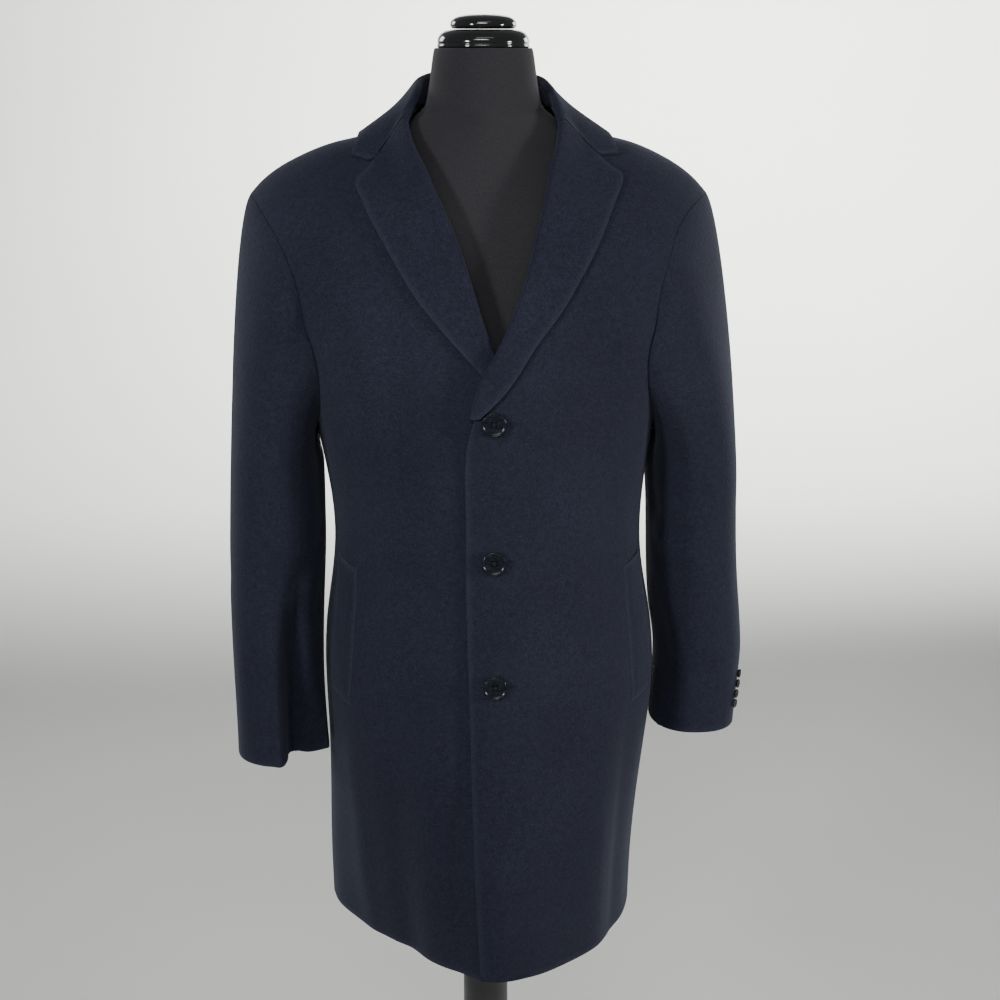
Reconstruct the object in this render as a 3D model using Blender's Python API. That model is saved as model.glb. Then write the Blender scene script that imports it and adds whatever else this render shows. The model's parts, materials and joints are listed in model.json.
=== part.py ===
"""A man's wool overcoat, buttoned on a limbless dress form with a turned neck cap, a pole and a round base.

Metres, +Z up. The coat faces -Y and +X is the wearer's left. The origin is on the floor, under the pole.
Every cloth piece is a thin closed wall whose middle surface comes from a function of two shares, 0 to 1:
how far across the piece and how far up it. What lies on a panel is made from the panel's own points, moved out.
"""

import math

import bmesh
import bpy
import numpy as np
from mathutils import Matrix

# ---- driving dimensions -------------------------------------------------------------------------

CLOTH = 0.0026  # thickness of the felted coating
SEAM = 0.0004  # gap left between two pieces that are sewn together
HEM_Z = 0.545
ARMPIT_Z = 1.13
LEFT_SHORTER = 0.0085  # the left shoulder ends this much nearer the neck than the right one
SHOULDER_ROUND = 0.13  # height over which the chest and the back round off into the shoulder line
BREAK_Z = 1.168  # where the lapels start to turn back
LAPEL_FOOT_Z = 1.174
GORGE_Z = 1.468  # where the roll line meets the collar
ROLL_SLOPE_COS = 0.93  # of the roll line against the upright
BACK_NECK_Z = 1.484  # top of the centre back seam
NECK_POINT_X = 0.073  # where the neckline meets the shoulder line
NECK_POINT_Z = 1.487
LOWER_SHARE = 0.56  # share of a panel's rows that lie below the armpit
BUTTON_LINE_X = -0.0015
BUTTON_HEIGHTS = (1.1680, 1.0166, 0.8812)
BUTTON_RADIUS = 0.013
BUTTON_DEPTH = 0.0048
CUFF_BUTTON_RADIUS = 0.0053
CUFF_BUTTON_DEPTH = 0.0032
CUFF_BUTTON_PITCH = 0.0112
CUFF_BUTTON_COUNT = 4
CUFF_BUTTON_START = 0.027  # lowest cuff button above the cuff's edge
CUFF_BUTTON_SHARE = 0.16  # how far across the topsleeve from its back seam
COLLAR_WALL = 0.0030  # the collar and the lapels are two layers pressed as one
COLLAR_LIFT = 0.0044  # from the middle of the cloth below to the middle of the collar
LAPEL_LIFT = 0.0044
ROLL_RADIUS = (0.0024, 0.0038)  # of the lapels' roll at the break and above, to the middle of the wall
ROLL_OPEN = 0.016  # length above the break over which a lapel's roll starts edge-on
ROLL_SHARE = 0.2  # share of a lapel's points that lie in its roll
GORGE_GAP = 0.0019
OVERLAP_LIFT = 0.0036  # of the left front where it laps over the right one
OVERLAP_X = (0.030, 0.105)  # across which that lift fades out
OVERLAP_Z = (1.27, 1.34)  # up which it fades out
LAPEL_FOOT_LIFT = 0.0060  # of the left front over the right lapel's foot
LAPEL_FOOT_LIFT_Z = 1.206
LAPEL_FOOT_SPREAD = 0.056
FOLD_RADIUS = 0.0034  # the collar's fold, to the middle of its wall
FOLD_TURN = 2.45  # how far the fold turns over before the leaf runs straight, in radians
FOLD_SHARE = 0.22  # share of the leaf's points that lie in the fold
STAND_REACH = 0.70  # share of the half neckline that the stand reaches
NECK_POINT_SHARE = 0.62  # share of the half neckline behind the shoulder line
SLEEVE_BEND = 2.3
SEAM_TURN = 0.0050  # half the gap between two sleeve pieces, as a turn round the sleeve
WELT_TOP_Z = 0.999  # at its back corner
WELT_DROP = 0.006  # how much lower its front corner lies
WELT_LENGTH = 0.160
WELT_FRONT_X = 0.146
WELT_TURN = 0.27  # how far the welt reaches round the body, in radians
WELT_SLANT = 0.10
WELT_LIFT = 0.0042
WELT_STAND = 0.0030  # how far its top back corner stands away
FORM_PLATE_X = 0.205  # half distance between the form's two flat arm plates
FORM_CLEARANCE = 0.0018  # between the cloth's inner face and the form's shoulders
NECK_DROP = 0.0045  # how much further the form lies under the cloth beside its neck
FORM_BOTTOM_Z = 0.74
NECK_TOP_Z = 1.5475
POLE_RADIUS = 0.027
BASE_RADIUS = 0.18
BASE_HEIGHT = 0.016


class Table:
    """Named columns against one key column, read on a smooth curve through the rows."""

    def __init__(self, columns, rows):
        self.columns = columns.split()
        order = sorted(rows)
        self.keys = np.array([row[0] for row in order])
        self.values = {}
        self.slopes = {}
        for index, column in enumerate(self.columns[1:], 1):
            values = np.array([row[index] for row in order])
            self.values[column] = values
            self.slopes[column] = np.gradient(values, self.keys)

    def at(self, column, key):
        key = np.clip(key, self.keys[0], self.keys[-1])
        low = np.clip(np.searchsorted(self.keys, key, side="right") - 1, 0, len(self.keys) - 2)
        span = self.keys[low + 1] - self.keys[low]
        t = (key - self.keys[low]) / span
        first, last = self.values[column][low], self.values[column][low + 1]
        leave, arrive = self.slopes[column][low] * span, self.slopes[column][low + 1] * span
        return (
            first * (2 * t**3 - 3 * t**2 + 1)
            + leave * (t**3 - 2 * t**2 + t)
            + last * (3 * t**2 - 2 * t**3)
            + arrive * (t**3 - t**2)
        )


# Half widths on the wearer's right and left, depths before and behind the middle, and the section's
# corners: a higher bend is squarer, and a lower chamfer cuts the corners straighter.
BODY = Table(
    "z right left front back middle bend chamfer_right chamfer_left chamfer_back",
    (
        (0.545, 0.183, 0.176, 0.232, 0.150, 0.030, 5.5, 0.99, 1.28, 1.34),
        (0.620, 0.184, 0.178, 0.222, 0.151, 0.024, 5.0, 1.11, 1.30, 1.37),
        (0.700, 0.183, 0.184, 0.206, 0.151, 0.016, 4.5, 1.21, 1.34, 1.42),
        (0.790, 0.183, 0.193, 0.186, 0.152, 0.006, 4.0, 1.35, 1.40, 1.46),
        (0.870, 0.185, 0.197, 0.177, 0.149, 0.004, 3.7, 1.47, 1.50, 1.52),
        (0.940, 0.179, 0.187, 0.167, 0.142, 0.002, 3.5, 1.57, 1.58, 1.58),
        (1.010, 0.170, 0.177, 0.158, 0.133, 0.000, 3.3, 1.66, 1.66, 1.64),
        (1.080, 0.177, 0.182, 0.154, 0.132, 0.000, 3.3, 1.74, 1.74, 1.70),
        (1.140, 0.189, 0.189, 0.154, 0.136, 0.000, 3.4, 1.80, 1.80, 1.76),
        (1.200, 0.205, 0.203, 0.152, 0.140, 0.000, 3.4, 1.86, 1.86, 1.84),
        (1.260, 0.228, 0.225, 0.147, 0.141, 0.000, 3.4, 1.92, 1.92, 1.90),
        (1.330, 0.254, 0.250, 0.137, 0.134, 0.000, 3.4, 2.00, 2.00, 2.00),
        (1.400, 0.272, 0.268, 0.120, 0.122, 0.000, 3.4, 2.00, 2.00, 2.00),
        (1.500, 0.280, 0.276, 0.100, 0.112, 0.000, 3.4, 2.00, 2.00, 2.00),
    ),
)

# Height of the shoulder line above a point at x. It runs on, unseen, under the collar to the middle.
SHOULDER = Table(
    "x z",
    (
        (-0.040, 1.5060),
        (0.000, 1.5250),
        (0.040, 1.5060),
        (0.073, 1.4870),
        (0.100, 1.4672),
        (0.130, 1.4560),
        (0.170, 1.4460),
        (0.200, 1.4335),
        (0.225, 1.4200),
        (0.240, 1.4085),
        (0.254, 1.3935),
    ),
)

# The armhole seam's distance from the middle at each height, on the wearer's right and left.
ARMHOLE = Table(
    "z right_front left_front right_back left_back",
    (
        (1.130, 0.1870, 0.1820, 0.1870, 0.1820),
        (1.220, 0.1940, 0.1765, 0.1960, 0.1900),
        (1.262, 0.1960, 0.1750, 0.2010, 0.1950),
        (1.300, 0.2020, 0.1795, 0.2090, 0.2030),
        (1.330, 0.2110, 0.1880, 0.2180, 0.2120),
        (1.355, 0.2240, 0.1970, 0.2280, 0.2220),
        (1.374, 0.2360, 0.2100, 0.2380, 0.2310),
        (1.385, 0.2440, 0.2240, 0.2450, 0.2380),
        (1.394, 0.2530, 0.2450, 0.2530, 0.2450),
    ),
)

# The inner edge of each front: the straight front edge, then the roll line, then the neckline.
FRONT_EDGE = Table(
    "z right left",
    (
        (0.545, 0.0300, -0.0180),
        (0.650, 0.0300, -0.0230),
        (0.820, 0.0300, -0.0275),
        (1.060, 0.0300, -0.0300),
        (1.168, 0.0280, -0.0265),
        (1.208, 0.0150, -0.0170),
        (1.247, -0.0020, 0.0042),
        (1.313, -0.0230, 0.0319),
        (1.361, -0.0385, 0.0453),
        (1.421, -0.0640, 0.0602),
        (1.468, -0.0795, 0.0730),
        (1.487, -0.0730, 0.0730),
    ),
)

# The free edge of each lapel, from the break (0) to its tip (1).
LAPEL = Table(
    "share right_x right_z left_x left_z",
    (
        (0.00, 0.0150, 1.1740, -0.0150, 1.1740),
        (0.145, -0.0086, 1.2109, 0.0110, 1.2010),
        (0.360, -0.0507, 1.2597, 0.0441, 1.2493),
        (0.515, -0.0801, 1.2967, 0.0696, 1.2807),
        (0.690, -0.1041, 1.3372, 0.0980, 1.3270),
        (0.850, -0.1279, 1.3804, 0.1162, 1.3612),
        (1.00, -0.1397, 1.4089, 0.1411, 1.4127),
    ),
)


# The collar's fold line and free edge, from the centre back (0) to the gorge (1). The fold is a point in
# space; the free edge lies on the shoulders, its `over` running from -1 in front to 1 behind the shoulder line.
COLLAR = Table(
    "share fold_x fold_y fold_z edge_x edge_over",
    (
        (-0.25, -0.0440, 0.0760, 1.5220, -0.0620, 0.652),
        (0.00, 0.0000, 0.0880, 1.5250, 0.0000, 0.833),
        (0.25, 0.0440, 0.0760, 1.5220, 0.0620, 0.652),
        (0.45, 0.0670, 0.0450, 1.5155, 0.1060, 0.340),
        (0.62, 0.0720, 0.0100, 1.5080, 0.1300, 0.040),
        (0.80, 0.0760, -0.0210, 1.4970, 0.1365, -0.290),
        (1.00, 0.0795, -0.0460, 1.4860, 0.1420, -0.556),
    ),
)
NOTCH = {1: 0.68, -1: 0.72}  # share of the lapel's top edge that is sewn to the collar, by side
COLLAR_TIP = {1: (0.1395, 1.4345), -1: (-0.1434, 1.4345)}
NOTCH_SHARE = 0.74  # share of the collar's end that is sewn to the lapel

# Sleeve sections by height: the middle, the half sizes, and the angles of the two seams round the sleeve
# from its outermost line, in degrees, positive in front. The dent sets the inner front back in a step.
SLEEVE = {
    -1: Table(
        "z middle_x middle_y half_width half_depth back_seam front_seam dent",
        (
            (0.763, 0.2362, -0.034, 0.0510, 0.060, -78.0, 107.0, 0.62),
            (0.810, 0.2380, -0.029, 0.0500, 0.062, -78.0, 107.0, 0.52),
            (0.870, 0.2396, -0.021, 0.0503, 0.066, -78.0, 108.0, 0.30),
            (0.930, 0.2391, -0.013, 0.0519, 0.070, -80.0, 111.0, 0.12),
            (1.000, 0.2368, -0.005, 0.0532, 0.076, -90.0, 116.0, 0.00),
            (1.090, 0.2348, 0.000, 0.0514, 0.083, -100.0, 120.0, 0.00),
        ),
    ),
    1: Table(
        "z middle_x middle_y half_width half_depth back_seam front_seam dent",
        (
            (0.774, 0.2470, 0.002, 0.0480, 0.060, 22.0, 150.0, 0.00),
            (0.812, 0.2500, 0.006, 0.0484, 0.062, 16.0, 150.0, 0.00),
            (0.855, 0.2535, 0.010, 0.0490, 0.065, 2.0, 150.0, 0.00),
            (0.916, 0.2478, 0.010, 0.0510, 0.070, -28.0, 146.0, 0.00),
            (0.965, 0.2432, 0.006, 0.0500, 0.074, -50.0, 138.0, 0.00),
            (1.040, 0.2394, 0.000, 0.0490, 0.079, -86.0, 128.0, 0.00),
            (1.090, 0.2372, 0.000, 0.0496, 0.083, -100.0, 120.0, 0.00),
        ),
    ),
}
SLEEVE_TOP_Z = 1.09  # below this the sleeve's sections are level
SLEEVE_HEAD_SHARE = 0.40  # share of the sleeve's length above that
SLEEVE_ROWS = 8  # rows of points below that
DENT_FROM = 89.0  # where the step on the inner front starts round the sleeve, in degrees
DENT_STEP = 14.0  # how far round the step takes, in degrees
DENT_FADE = 30.0  # how far round the dent runs out behind, in degrees
SLEEVE_PULL = (0.022, 0.085)  # how straight the sleeve leaves the armhole below and above

# The form's own half width and depths by height. Near the top they are divided by the rounding of its shoulders.
FORM = Table(
    "z half front back",
    (
        (0.740, 0.150, 0.130, 0.112),
        (0.860, 0.158, 0.138, 0.124),
        (0.950, 0.152, 0.132, 0.116),
        (1.030, 0.143, 0.122, 0.106),
        (1.110, 0.153, 0.128, 0.112),
        (1.200, 0.180, 0.130, 0.122),
        (1.280, 0.215, 0.126, 0.122),
        (1.350, 0.250, 0.114, 0.114),
        (1.400, 0.280, 0.100, 0.104),
        (1.500, 0.300, 0.084, 0.094),
    ),
)

# The neck's half width and depth by height, flaring into the shoulders.
NECK = Table(
    "z half front back",
    (
        (1.3900, 0.1200, 0.070, 0.066),
        (1.4400, 0.0860, 0.062, 0.062),
        (1.4700, 0.0700, 0.058, 0.060),
        (1.4870, 0.0640, 0.056, 0.058),
        (1.5050, 0.0595, 0.055, 0.057),
        (1.5270, 0.0568, 0.054, 0.055),
        (1.5475, 0.0535, 0.052, 0.052),
    ),
)


def smooth(share):
    """0 to 1 with level ends."""
    share = np.clip(share, 0.0, 1.0)
    return share * share * (3.0 - 2.0 * share)


def blend(low, high, share):
    return low + (high - low) * share


def soft_size(value, rounding=0.12):
    """Size of a number, with its corner at nought rounded."""
    return np.sqrt(value * value + rounding * rounding) - rounding


def shoulder_z(x):
    shift = LEFT_SHORTER * smooth((x - 0.10) / 0.14)
    return SHOULDER.at("z", np.abs(x + shift))


def shoulder_cap(x, z):
    """1 on the body, falling to 0 at the shoulder line on a quarter of an ellipse."""
    depth = np.clip((shoulder_z(x) - z) / SHOULDER_ROUND, 0.0, 1.0)
    return np.sqrt(np.clip(1.0 - (1.0 - depth) ** 2, 0.0, 1.0))


def section_reach(angle, bend, chamfer):
    """How far a unit section reaches at an angle, 1 at the front, sides and back."""
    across, ahead = soft_size(np.sin(angle)), soft_size(np.cos(angle))
    unit = soft_size(1.0)
    level = (unit**bend + (unit / chamfer) ** bend) ** (1.0 / bend)
    size = across**bend + ahead**bend + ((across + ahead) / chamfer) ** bend
    return level / size ** (1.0 / bend)


def section_at(turn, front, z):
    """Width and chamfer of the body's section on the side that a turn's sine points to."""
    left = turn >= 0
    width = np.where(left, BODY.at("left", z), BODY.at("right", z))
    ahead = np.where(left, BODY.at("chamfer_left", z), BODY.at("chamfer_right", z))
    middle = (BODY.at("chamfer_left", z) + BODY.at("chamfer_right", z)) / 2
    near = smooth(np.abs(turn) / 0.35)
    return width, np.where(front, blend(middle, ahead, near), BODY.at("chamfer_back", z))


def body_point(angle, z):
    """Middle surface of the coat's body. The angle is 0 at the front and grows towards the wearer's left."""
    angle, z = np.broadcast_arrays(np.asarray(angle, float), np.asarray(z, float))
    turn, ahead = np.sin(angle), np.cos(angle)
    front = ahead >= 0
    width, chamfer = section_at(turn, front, z)
    depth = np.where(front, BODY.at("front", z), BODY.at("back", z))
    reach = section_reach(angle, BODY.at("bend", z), chamfer)
    x = width * reach * turn
    y = BODY.at("middle", z) - depth * reach * ahead * shoulder_cap(x, z)
    return np.stack([x, y, z], axis=-1)


def body_angle(x, z, front=True):
    """Angle at which the body's section at height z has this x."""
    x, z = np.broadcast_arrays(np.asarray(x, float), np.asarray(z, float))
    bend = BODY.at("bend", z)
    low, high = np.full(x.shape, -math.pi / 2), np.full(x.shape, math.pi / 2)
    for _ in range(34):
        middle = (low + high) / 2
        turn = np.sin(middle)
        width, chamfer = section_at(turn, front, z)
        less = width * section_reach(middle, bend, chamfer) * turn < x
        low, high = np.where(less, middle, low), np.where(less, high, middle)
    return low if front else math.pi - low


def armhole(side, front, turn):
    """Angle and height of the armhole seam on the body. The turn is 0 at the shoulder and pi at the armpit."""
    turn = np.asarray(turn, float)
    column = ("left" if side > 0 else "right") + ("_front" if front else "_back")
    top = shoulder_z(side * ARMHOLE.values[column][-1])
    middle, half = (top + ARMPIT_Z) / 2, (top - ARMPIT_Z) / 2
    z = middle + half * np.cos(turn)
    upper = body_angle(side * ARMHOLE.at(column, np.maximum(z, middle)), np.maximum(z, middle), front)
    limit = side * math.pi / 2 if front else math.pi - side * math.pi / 2
    lower = limit + (upper - limit) * np.sin(turn)
    return np.where(z >= middle, upper, lower), z


def armhole_point(side, turn):
    """Point of the armhole seam. A positive turn runs down the front, a negative one down the back."""
    turn = np.asarray(turn, float)
    ahead, ahead_z = armhole(side, True, np.abs(turn))
    behind, behind_z = armhole(side, False, np.abs(turn))
    front = (turn >= 0)[..., None]
    return np.where(front, body_point(ahead, ahead_z), body_point(behind, behind_z))


def panel_point(side, front, inner, share_across, share_up):
    """Middle surface of a front or a back, from its inner edge (0) to its side seam or armhole (1), hem to top.

    `inner(rise, low_z)` gives the inner edge's x and z.
    """
    across, up = np.broadcast_arrays(np.asarray(share_across, float), np.asarray(share_up, float))
    rise = np.clip((up - LOWER_SHARE) / (1.0 - LOWER_SHARE), 0.0, 1.0)
    low_z = blend(ARMPIT_Z, HEM_Z, np.clip(1.0 - up / LOWER_SHARE, 0.0, 1.0))
    edge_x, edge_z = inner(rise, low_z)
    limit = side * math.pi / 2 if front else math.pi - side * math.pi / 2
    seam_angle, seam_z = armhole(side, front, math.pi * (1.0 - rise))
    seam_angle = np.where(rise > 0, seam_angle, limit)
    seam_z = np.where(rise > 0, seam_z, low_z)
    seam_x = body_point(seam_angle, seam_z)[..., 0]
    angle = blend(body_angle(edge_x, edge_z, front), seam_angle, across)
    level = blend(edge_z, seam_z, across)
    edge_drop, seam_drop = shoulder_z(edge_x) - edge_z, shoulder_z(seam_x) - seam_z
    z = level
    for _ in range(10):
        x = body_point(angle, z)[..., 0]
        inward = np.clip(1.0 - (x / NECK_POINT_X) ** 2, 0.0, 1.0)
        neck = smooth(rise) ** 2 * (0.0 if front else 1.0)
        share = blend(1.0 - across, inward, neck)
        z = blend(level, shoulder_z(x) - blend(seam_drop, edge_drop, share), smooth(rise))
    point = body_point(angle, z)
    aside = side * SEAM / 2 * (1.0 - across) ** 2 * (0.0 if front else 1.0)
    return point + np.stack([aside, np.full_like(aside, -SEAM / 2 if front else SEAM / 2), 0.0 * aside], axis=-1)


def roll_radius(along):
    return blend(*ROLL_RADIUS, smooth((along - 0.2) / 0.4))


def front_edge(side, z):
    """x of a front's own edge. Above the break it stops short of the roll line, where the lapel's roll starts."""
    along = (z - LAPEL_FOOT_Z) / (GORGE_Z - LAPEL_FOOT_Z)
    short = (roll_radius(along) + COLLAR_WALL / 2 + 2.5 * SEAM) / ROLL_SLOPE_COS
    near = smooth((z - BREAK_Z + 0.018) / 0.022) * smooth((NECK_POINT_Z - z) / 0.018)
    return FRONT_EDGE.at("left" if side > 0 else "right", z) + side * short * near


def front_point(side, across, up):
    """Middle surface of a front, from its edge to its side seam and armhole."""

    def inner(rise, low_z):
        z = ARMPIT_Z + (NECK_POINT_Z - ARMPIT_Z) * np.sin(rise**0.93 * math.pi / 2)
        z = np.where(rise > 0, z, low_z)
        return front_edge(side, z), z

    return panel_point(side, True, inner, across, up)


def back_point(side, across, up):
    """Middle surface of a back half, from the centre back seam to the side seam and the armhole."""

    def inner(rise, low_z):
        z = ARMPIT_Z + (BACK_NECK_Z - ARMPIT_Z) * np.sin(rise * math.pi / 2)
        return np.zeros_like(z), np.where(rise > 0, z, low_z)

    return panel_point(side, False, inner, across, up)


def front_surface(x, z):
    """Point of the coat's front at x and z, and its outward normal."""
    step = 5e-4

    def place(px, pz):
        return body_point(body_angle(px, pz), pz)

    point = place(x, z)
    normal = np.cross(place(x + step, z) - place(x - step, z), place(x, z + step) - place(x, z - step))
    return point, unit(normal)


def unit(vectors):
    return vectors / np.linalg.norm(vectors, axis=-1, keepdims=True)


def overlap_lift(x, z):
    """How far the left front stands off the right front that it buttons over, and off the right lapel's foot."""
    near = smooth((OVERLAP_X[1] - x) / (OVERLAP_X[1] - OVERLAP_X[0]))
    over = OVERLAP_LIFT * smooth((OVERLAP_Z[1] - z) / (OVERLAP_Z[1] - OVERLAP_Z[0]))
    foot = LAPEL_FOOT_LIFT * np.exp(-(((z - LAPEL_FOOT_LIFT_Z) / LAPEL_FOOT_SPREAD) ** 4))
    return near * (over + foot)


# ---- lapels and collar --------------------------------------------------------------------------


def lapel_point(side, across, along):
    """Middle surface of a lapel: round its roll from the front's edge, then back over the front to its free edge."""
    across, along = np.broadcast_arrays(np.asarray(across, float), np.asarray(along, float))
    name = "left" if side > 0 else "right"
    roll_z = blend(LAPEL_FOOT_Z, GORGE_Z, along)
    roll_x = FRONT_EDGE.at(name, roll_z)
    lean = (FRONT_EDGE.at(name, roll_z + 0.002) - FRONT_EDGE.at(name, roll_z - 0.002)) / 0.004
    cos = 1.0 / np.sqrt(1.0 + lean**2)
    inward_x, inward_z = -side * cos, side * lean * cos
    radius = roll_radius(along)
    centre_x = roll_x - inward_x * (radius + COLLAR_WALL / 2)
    centre_z = roll_z - inward_z * (radius + COLLAR_WALL / 2)
    foot, normal = front_surface(centre_x, centre_z)
    ahead = front_surface(centre_x + 0.001 * inward_x, centre_z + 0.001 * inward_z)[0]
    inward = unit(ahead - foot)
    base = overlap_lift(centre_x, centre_z) if side > 0 else np.zeros_like(along)
    start = -math.pi / 2 * smooth((roll_z - LAPEL_FOOT_Z - ROLL_OPEN) / 0.03)
    turn = start + (math.pi / 2 - start) * np.clip(across / ROLL_SHARE, 0.0, 1.0)
    out = base + radius * (1.0 + np.sin(turn))
    rolled = foot + normal * out[..., None] + inward * (radius * np.cos(turn))[..., None]
    leaf = np.clip((across - ROLL_SHARE) / (1.0 - ROLL_SHARE), 0.0, 1.0)
    x = blend(centre_x, LAPEL.at(name + "_x", along), leaf)
    z = blend(centre_z, LAPEL.at(name + "_z", along), leaf)
    lift = LAPEL_LIFT + (2.0 * radius - LAPEL_LIFT) * (1.0 - smooth(leaf / 0.45))
    return np.where((across < ROLL_SHARE)[..., None], rolled, on_front(side, x, z, lift))


def on_front(side, x, z, lift):
    """Point that lies on a front, moved out by a lift."""
    point, normal = front_surface(x, z)
    base = overlap_lift(x, z) if side > 0 else 0.0
    return point + normal * (base + lift)[..., None]


def neckline(side, share):
    """The neckline seam from the centre back (0) over the shoulder (NECK_POINT_SHARE) to the gorge (1)."""
    share = np.asarray(share, float)
    turn = np.clip(share / NECK_POINT_SHARE, 0.0, 1.0) * math.pi / 2
    back_x = NECK_POINT_X * np.sin(turn)
    back_z = shoulder_z(back_x) - (shoulder_z(0.0) - BACK_NECK_Z) * np.cos(turn) ** 2
    back = body_point(body_angle(side * back_x, back_z, False), back_z)
    down = np.clip((share - NECK_POINT_SHARE) / (1.0 - NECK_POINT_SHARE), 0.0, 1.0)
    front_z = NECK_POINT_Z - (NECK_POINT_Z - GORGE_Z) * down**1.5
    front_x = front_edge(side, front_z)
    front = body_point(body_angle(front_x, front_z), front_z)
    return np.where((share < NECK_POINT_SHARE)[..., None], back, front)


def neckline_normal(side, share):
    """The cloth's outward normal beside the neckline."""
    point = neckline(side, share)
    x, z = point[..., 0], point[..., 2] - 0.001
    step = 5e-4
    normals = []
    for front, sign in ((True, 1.0), (False, -1.0)):
        aside = body_point(body_angle(x + step, z, front), z) - body_point(body_angle(x - step, z, front), z)
        above = body_point(body_angle(x, z + step, front), z + step)
        above = above - body_point(body_angle(x, z - step, front), z - step)
        normals.append(unit(np.cross(aside, above)) * sign)
    return np.where((share < NECK_POINT_SHARE)[..., None], normals[1], normals[0])


def fold_point(side, share):
    """The collar's fold line."""
    return np.stack(
        [side * COLLAR.at("fold_x", share), COLLAR.at("fold_y", share), COLLAR.at("fold_z", share)], axis=-1
    )


def on_shoulder(x, over, lift):
    """Point on the shoulders at x, from -1 in front of the shoulder line to 1 behind it, moved out."""

    def place(px, po):
        z = shoulder_z(px) - SHOULDER_ROUND * (1.0 - np.sqrt(1.0 - np.clip(po, -0.98, 0.98) ** 2))
        ahead = body_point(body_angle(px, z), z)
        behind = body_point(body_angle(px, z, False), z)
        depth = np.where(po < 0, -np.abs(ahead[..., 1]), np.abs(behind[..., 1]))
        return np.stack([px, depth, z], axis=-1)

    x, over = np.broadcast_arrays(np.asarray(x, float), np.asarray(over, float))
    step = 1e-3
    point = place(x, over)
    normal = unit(np.cross(place(x + step, over) - place(x - step, over), place(x, over + step) - place(x, over - step)))
    normal = normal * np.sign(normal[..., 2:3])
    return point + normal * lift


def resting(point, lift):
    """Raises points so that they clear the shoulders by a lift, measured square to the cloth."""
    x, y = point[..., 0], point[..., 1]
    z = shoulder_z(x) - 0.02
    for _ in range(6):
        ahead = np.abs(body_point(body_angle(x, z), z)[..., 1])
        behind = np.abs(body_point(body_angle(x, z, False), z)[..., 1])
        cap = np.maximum(shoulder_cap(x, z), 1e-3)
        reach = np.where(y < 0, ahead, behind) / cap
        over = np.clip(np.abs(y) / reach, 0.0, 0.93)
        z = shoulder_z(x) - SHOULDER_ROUND * (1.0 - np.sqrt(1.0 - over**2))
    slope = SHOULDER_ROUND / reach * over / np.sqrt(1.0 - over**2)
    floor = z + lift * np.sqrt(1.0 + slope**2)
    gap = point[..., 2] - floor
    blur = 0.001
    raised = floor + 0.5 * (gap + np.sqrt(gap * gap + blur * blur))
    return np.stack([x, y, raised], axis=-1)


def collar_end(side, across):
    """The collar's end: beside the lapel's top edge to the notch, then free to the collar's tip."""
    folded = ROLL_SHARE * np.clip(across / FOLD_SHARE, 0.0, 1.0)
    sewn = np.clip((across - FOLD_SHARE) / (NOTCH_SHARE - FOLD_SHARE), 0.0, 1.0)
    beside = folded + (NOTCH[side] - ROLL_SHARE) * sewn
    seam = lapel_point(side, beside, np.ones_like(beside))
    below = lapel_point(side, beside, np.full_like(beside, 0.985))
    seam = seam + unit(seam - below) * GORGE_GAP
    free = np.clip((across - NOTCH_SHARE) / (1.0 - NOTCH_SHARE), 0.0, 1.0)
    tip_x, tip_z = COLLAR_TIP[side]
    tip = on_front(side, np.full_like(free, tip_x), np.full_like(free, tip_z), COLLAR_LIFT + 0.0 * free)
    return blend(seam, tip, free[..., None])


def free_leaf(side, across, share):
    """The fall as it lies on the shoulders: a round fold, then a leaf down to its free edge."""
    fold = fold_point(side, share)
    edge = on_shoulder(side * COLLAR.at("edge_x", share), COLLAR.at("edge_over", share), COLLAR_LIFT)
    up = np.array([0.0, 0.0, 1.0])
    out = unit((edge - fold) * np.array([1.0, 1.0, 0.0]))
    turn = (FOLD_TURN * np.clip(across / FOLD_SHARE, 0.0, 1.0))[..., None]
    centre = fold - up * FOLD_RADIUS
    folded = centre + FOLD_RADIUS * (np.sin(turn) * up - np.cos(turn) * out)
    last = centre + FOLD_RADIUS * (math.sin(FOLD_TURN) * up - math.cos(FOLD_TURN) * out)
    length = np.linalg.norm(edge - last, axis=-1, keepdims=True)
    leave = (math.cos(FOLD_TURN) * up + math.sin(FOLD_TURN) * out) * length
    arrive = unit(edge - last) * length
    t = np.clip((across - FOLD_SHARE) / (1.0 - FOLD_SHARE), 0.0, 1.0)[..., None]
    leaf = (
        last * (2 * t**3 - 3 * t**2 + 1)
        + leave * (t**3 - 2 * t**2 + t)
        + edge * (3 * t**2 - 2 * t**3)
        + arrive * (t**3 - t**2)
    )
    return np.where((across < FOLD_SHARE)[..., None], folded, leaf)


def fall_half(side, across, share):
    """Middle surface of one half of the collar's fall, from the fold (across 0) to its free edge."""
    across, share = np.broadcast_arrays(np.asarray(across, float), np.asarray(share, float))
    ending = smooth((share - 0.66) / 0.34)[..., None] ** 1.6
    shift = collar_end(side, across) - free_leaf(side, across, np.ones_like(share))
    point = free_leaf(side, across, share) + shift * ending
    return blend(point, resting(point, COLLAR_LIFT), smooth((across - FOLD_SHARE) / 0.2)[..., None])


def collar_fall(across, along):
    """The whole fall, from the wearer's right gorge (along 0) round the back to the left one (1)."""
    across, along = np.broadcast_arrays(np.asarray(across, float), np.asarray(along, float))
    share = np.abs(2.0 * along - 1.0)
    return np.where((along >= 0.5)[..., None], fall_half(1, across, share), fall_half(-1, across, share))


def joint_gap(lean, level, half_wall):
    """Clear distance, along a wall, from its end to another wall's end that it meets at an angle.

    `lean` and `level` are the sine and cosine of the angle between the two.
    """
    in_line = (SEAM + CLOTH / 2 * lean) / np.maximum(level, 0.05)
    across = (SEAM + half_wall + CLOTH / 2 * level) / np.maximum(lean, 0.05)
    return np.minimum(in_line, across) + 2 * SEAM


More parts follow.
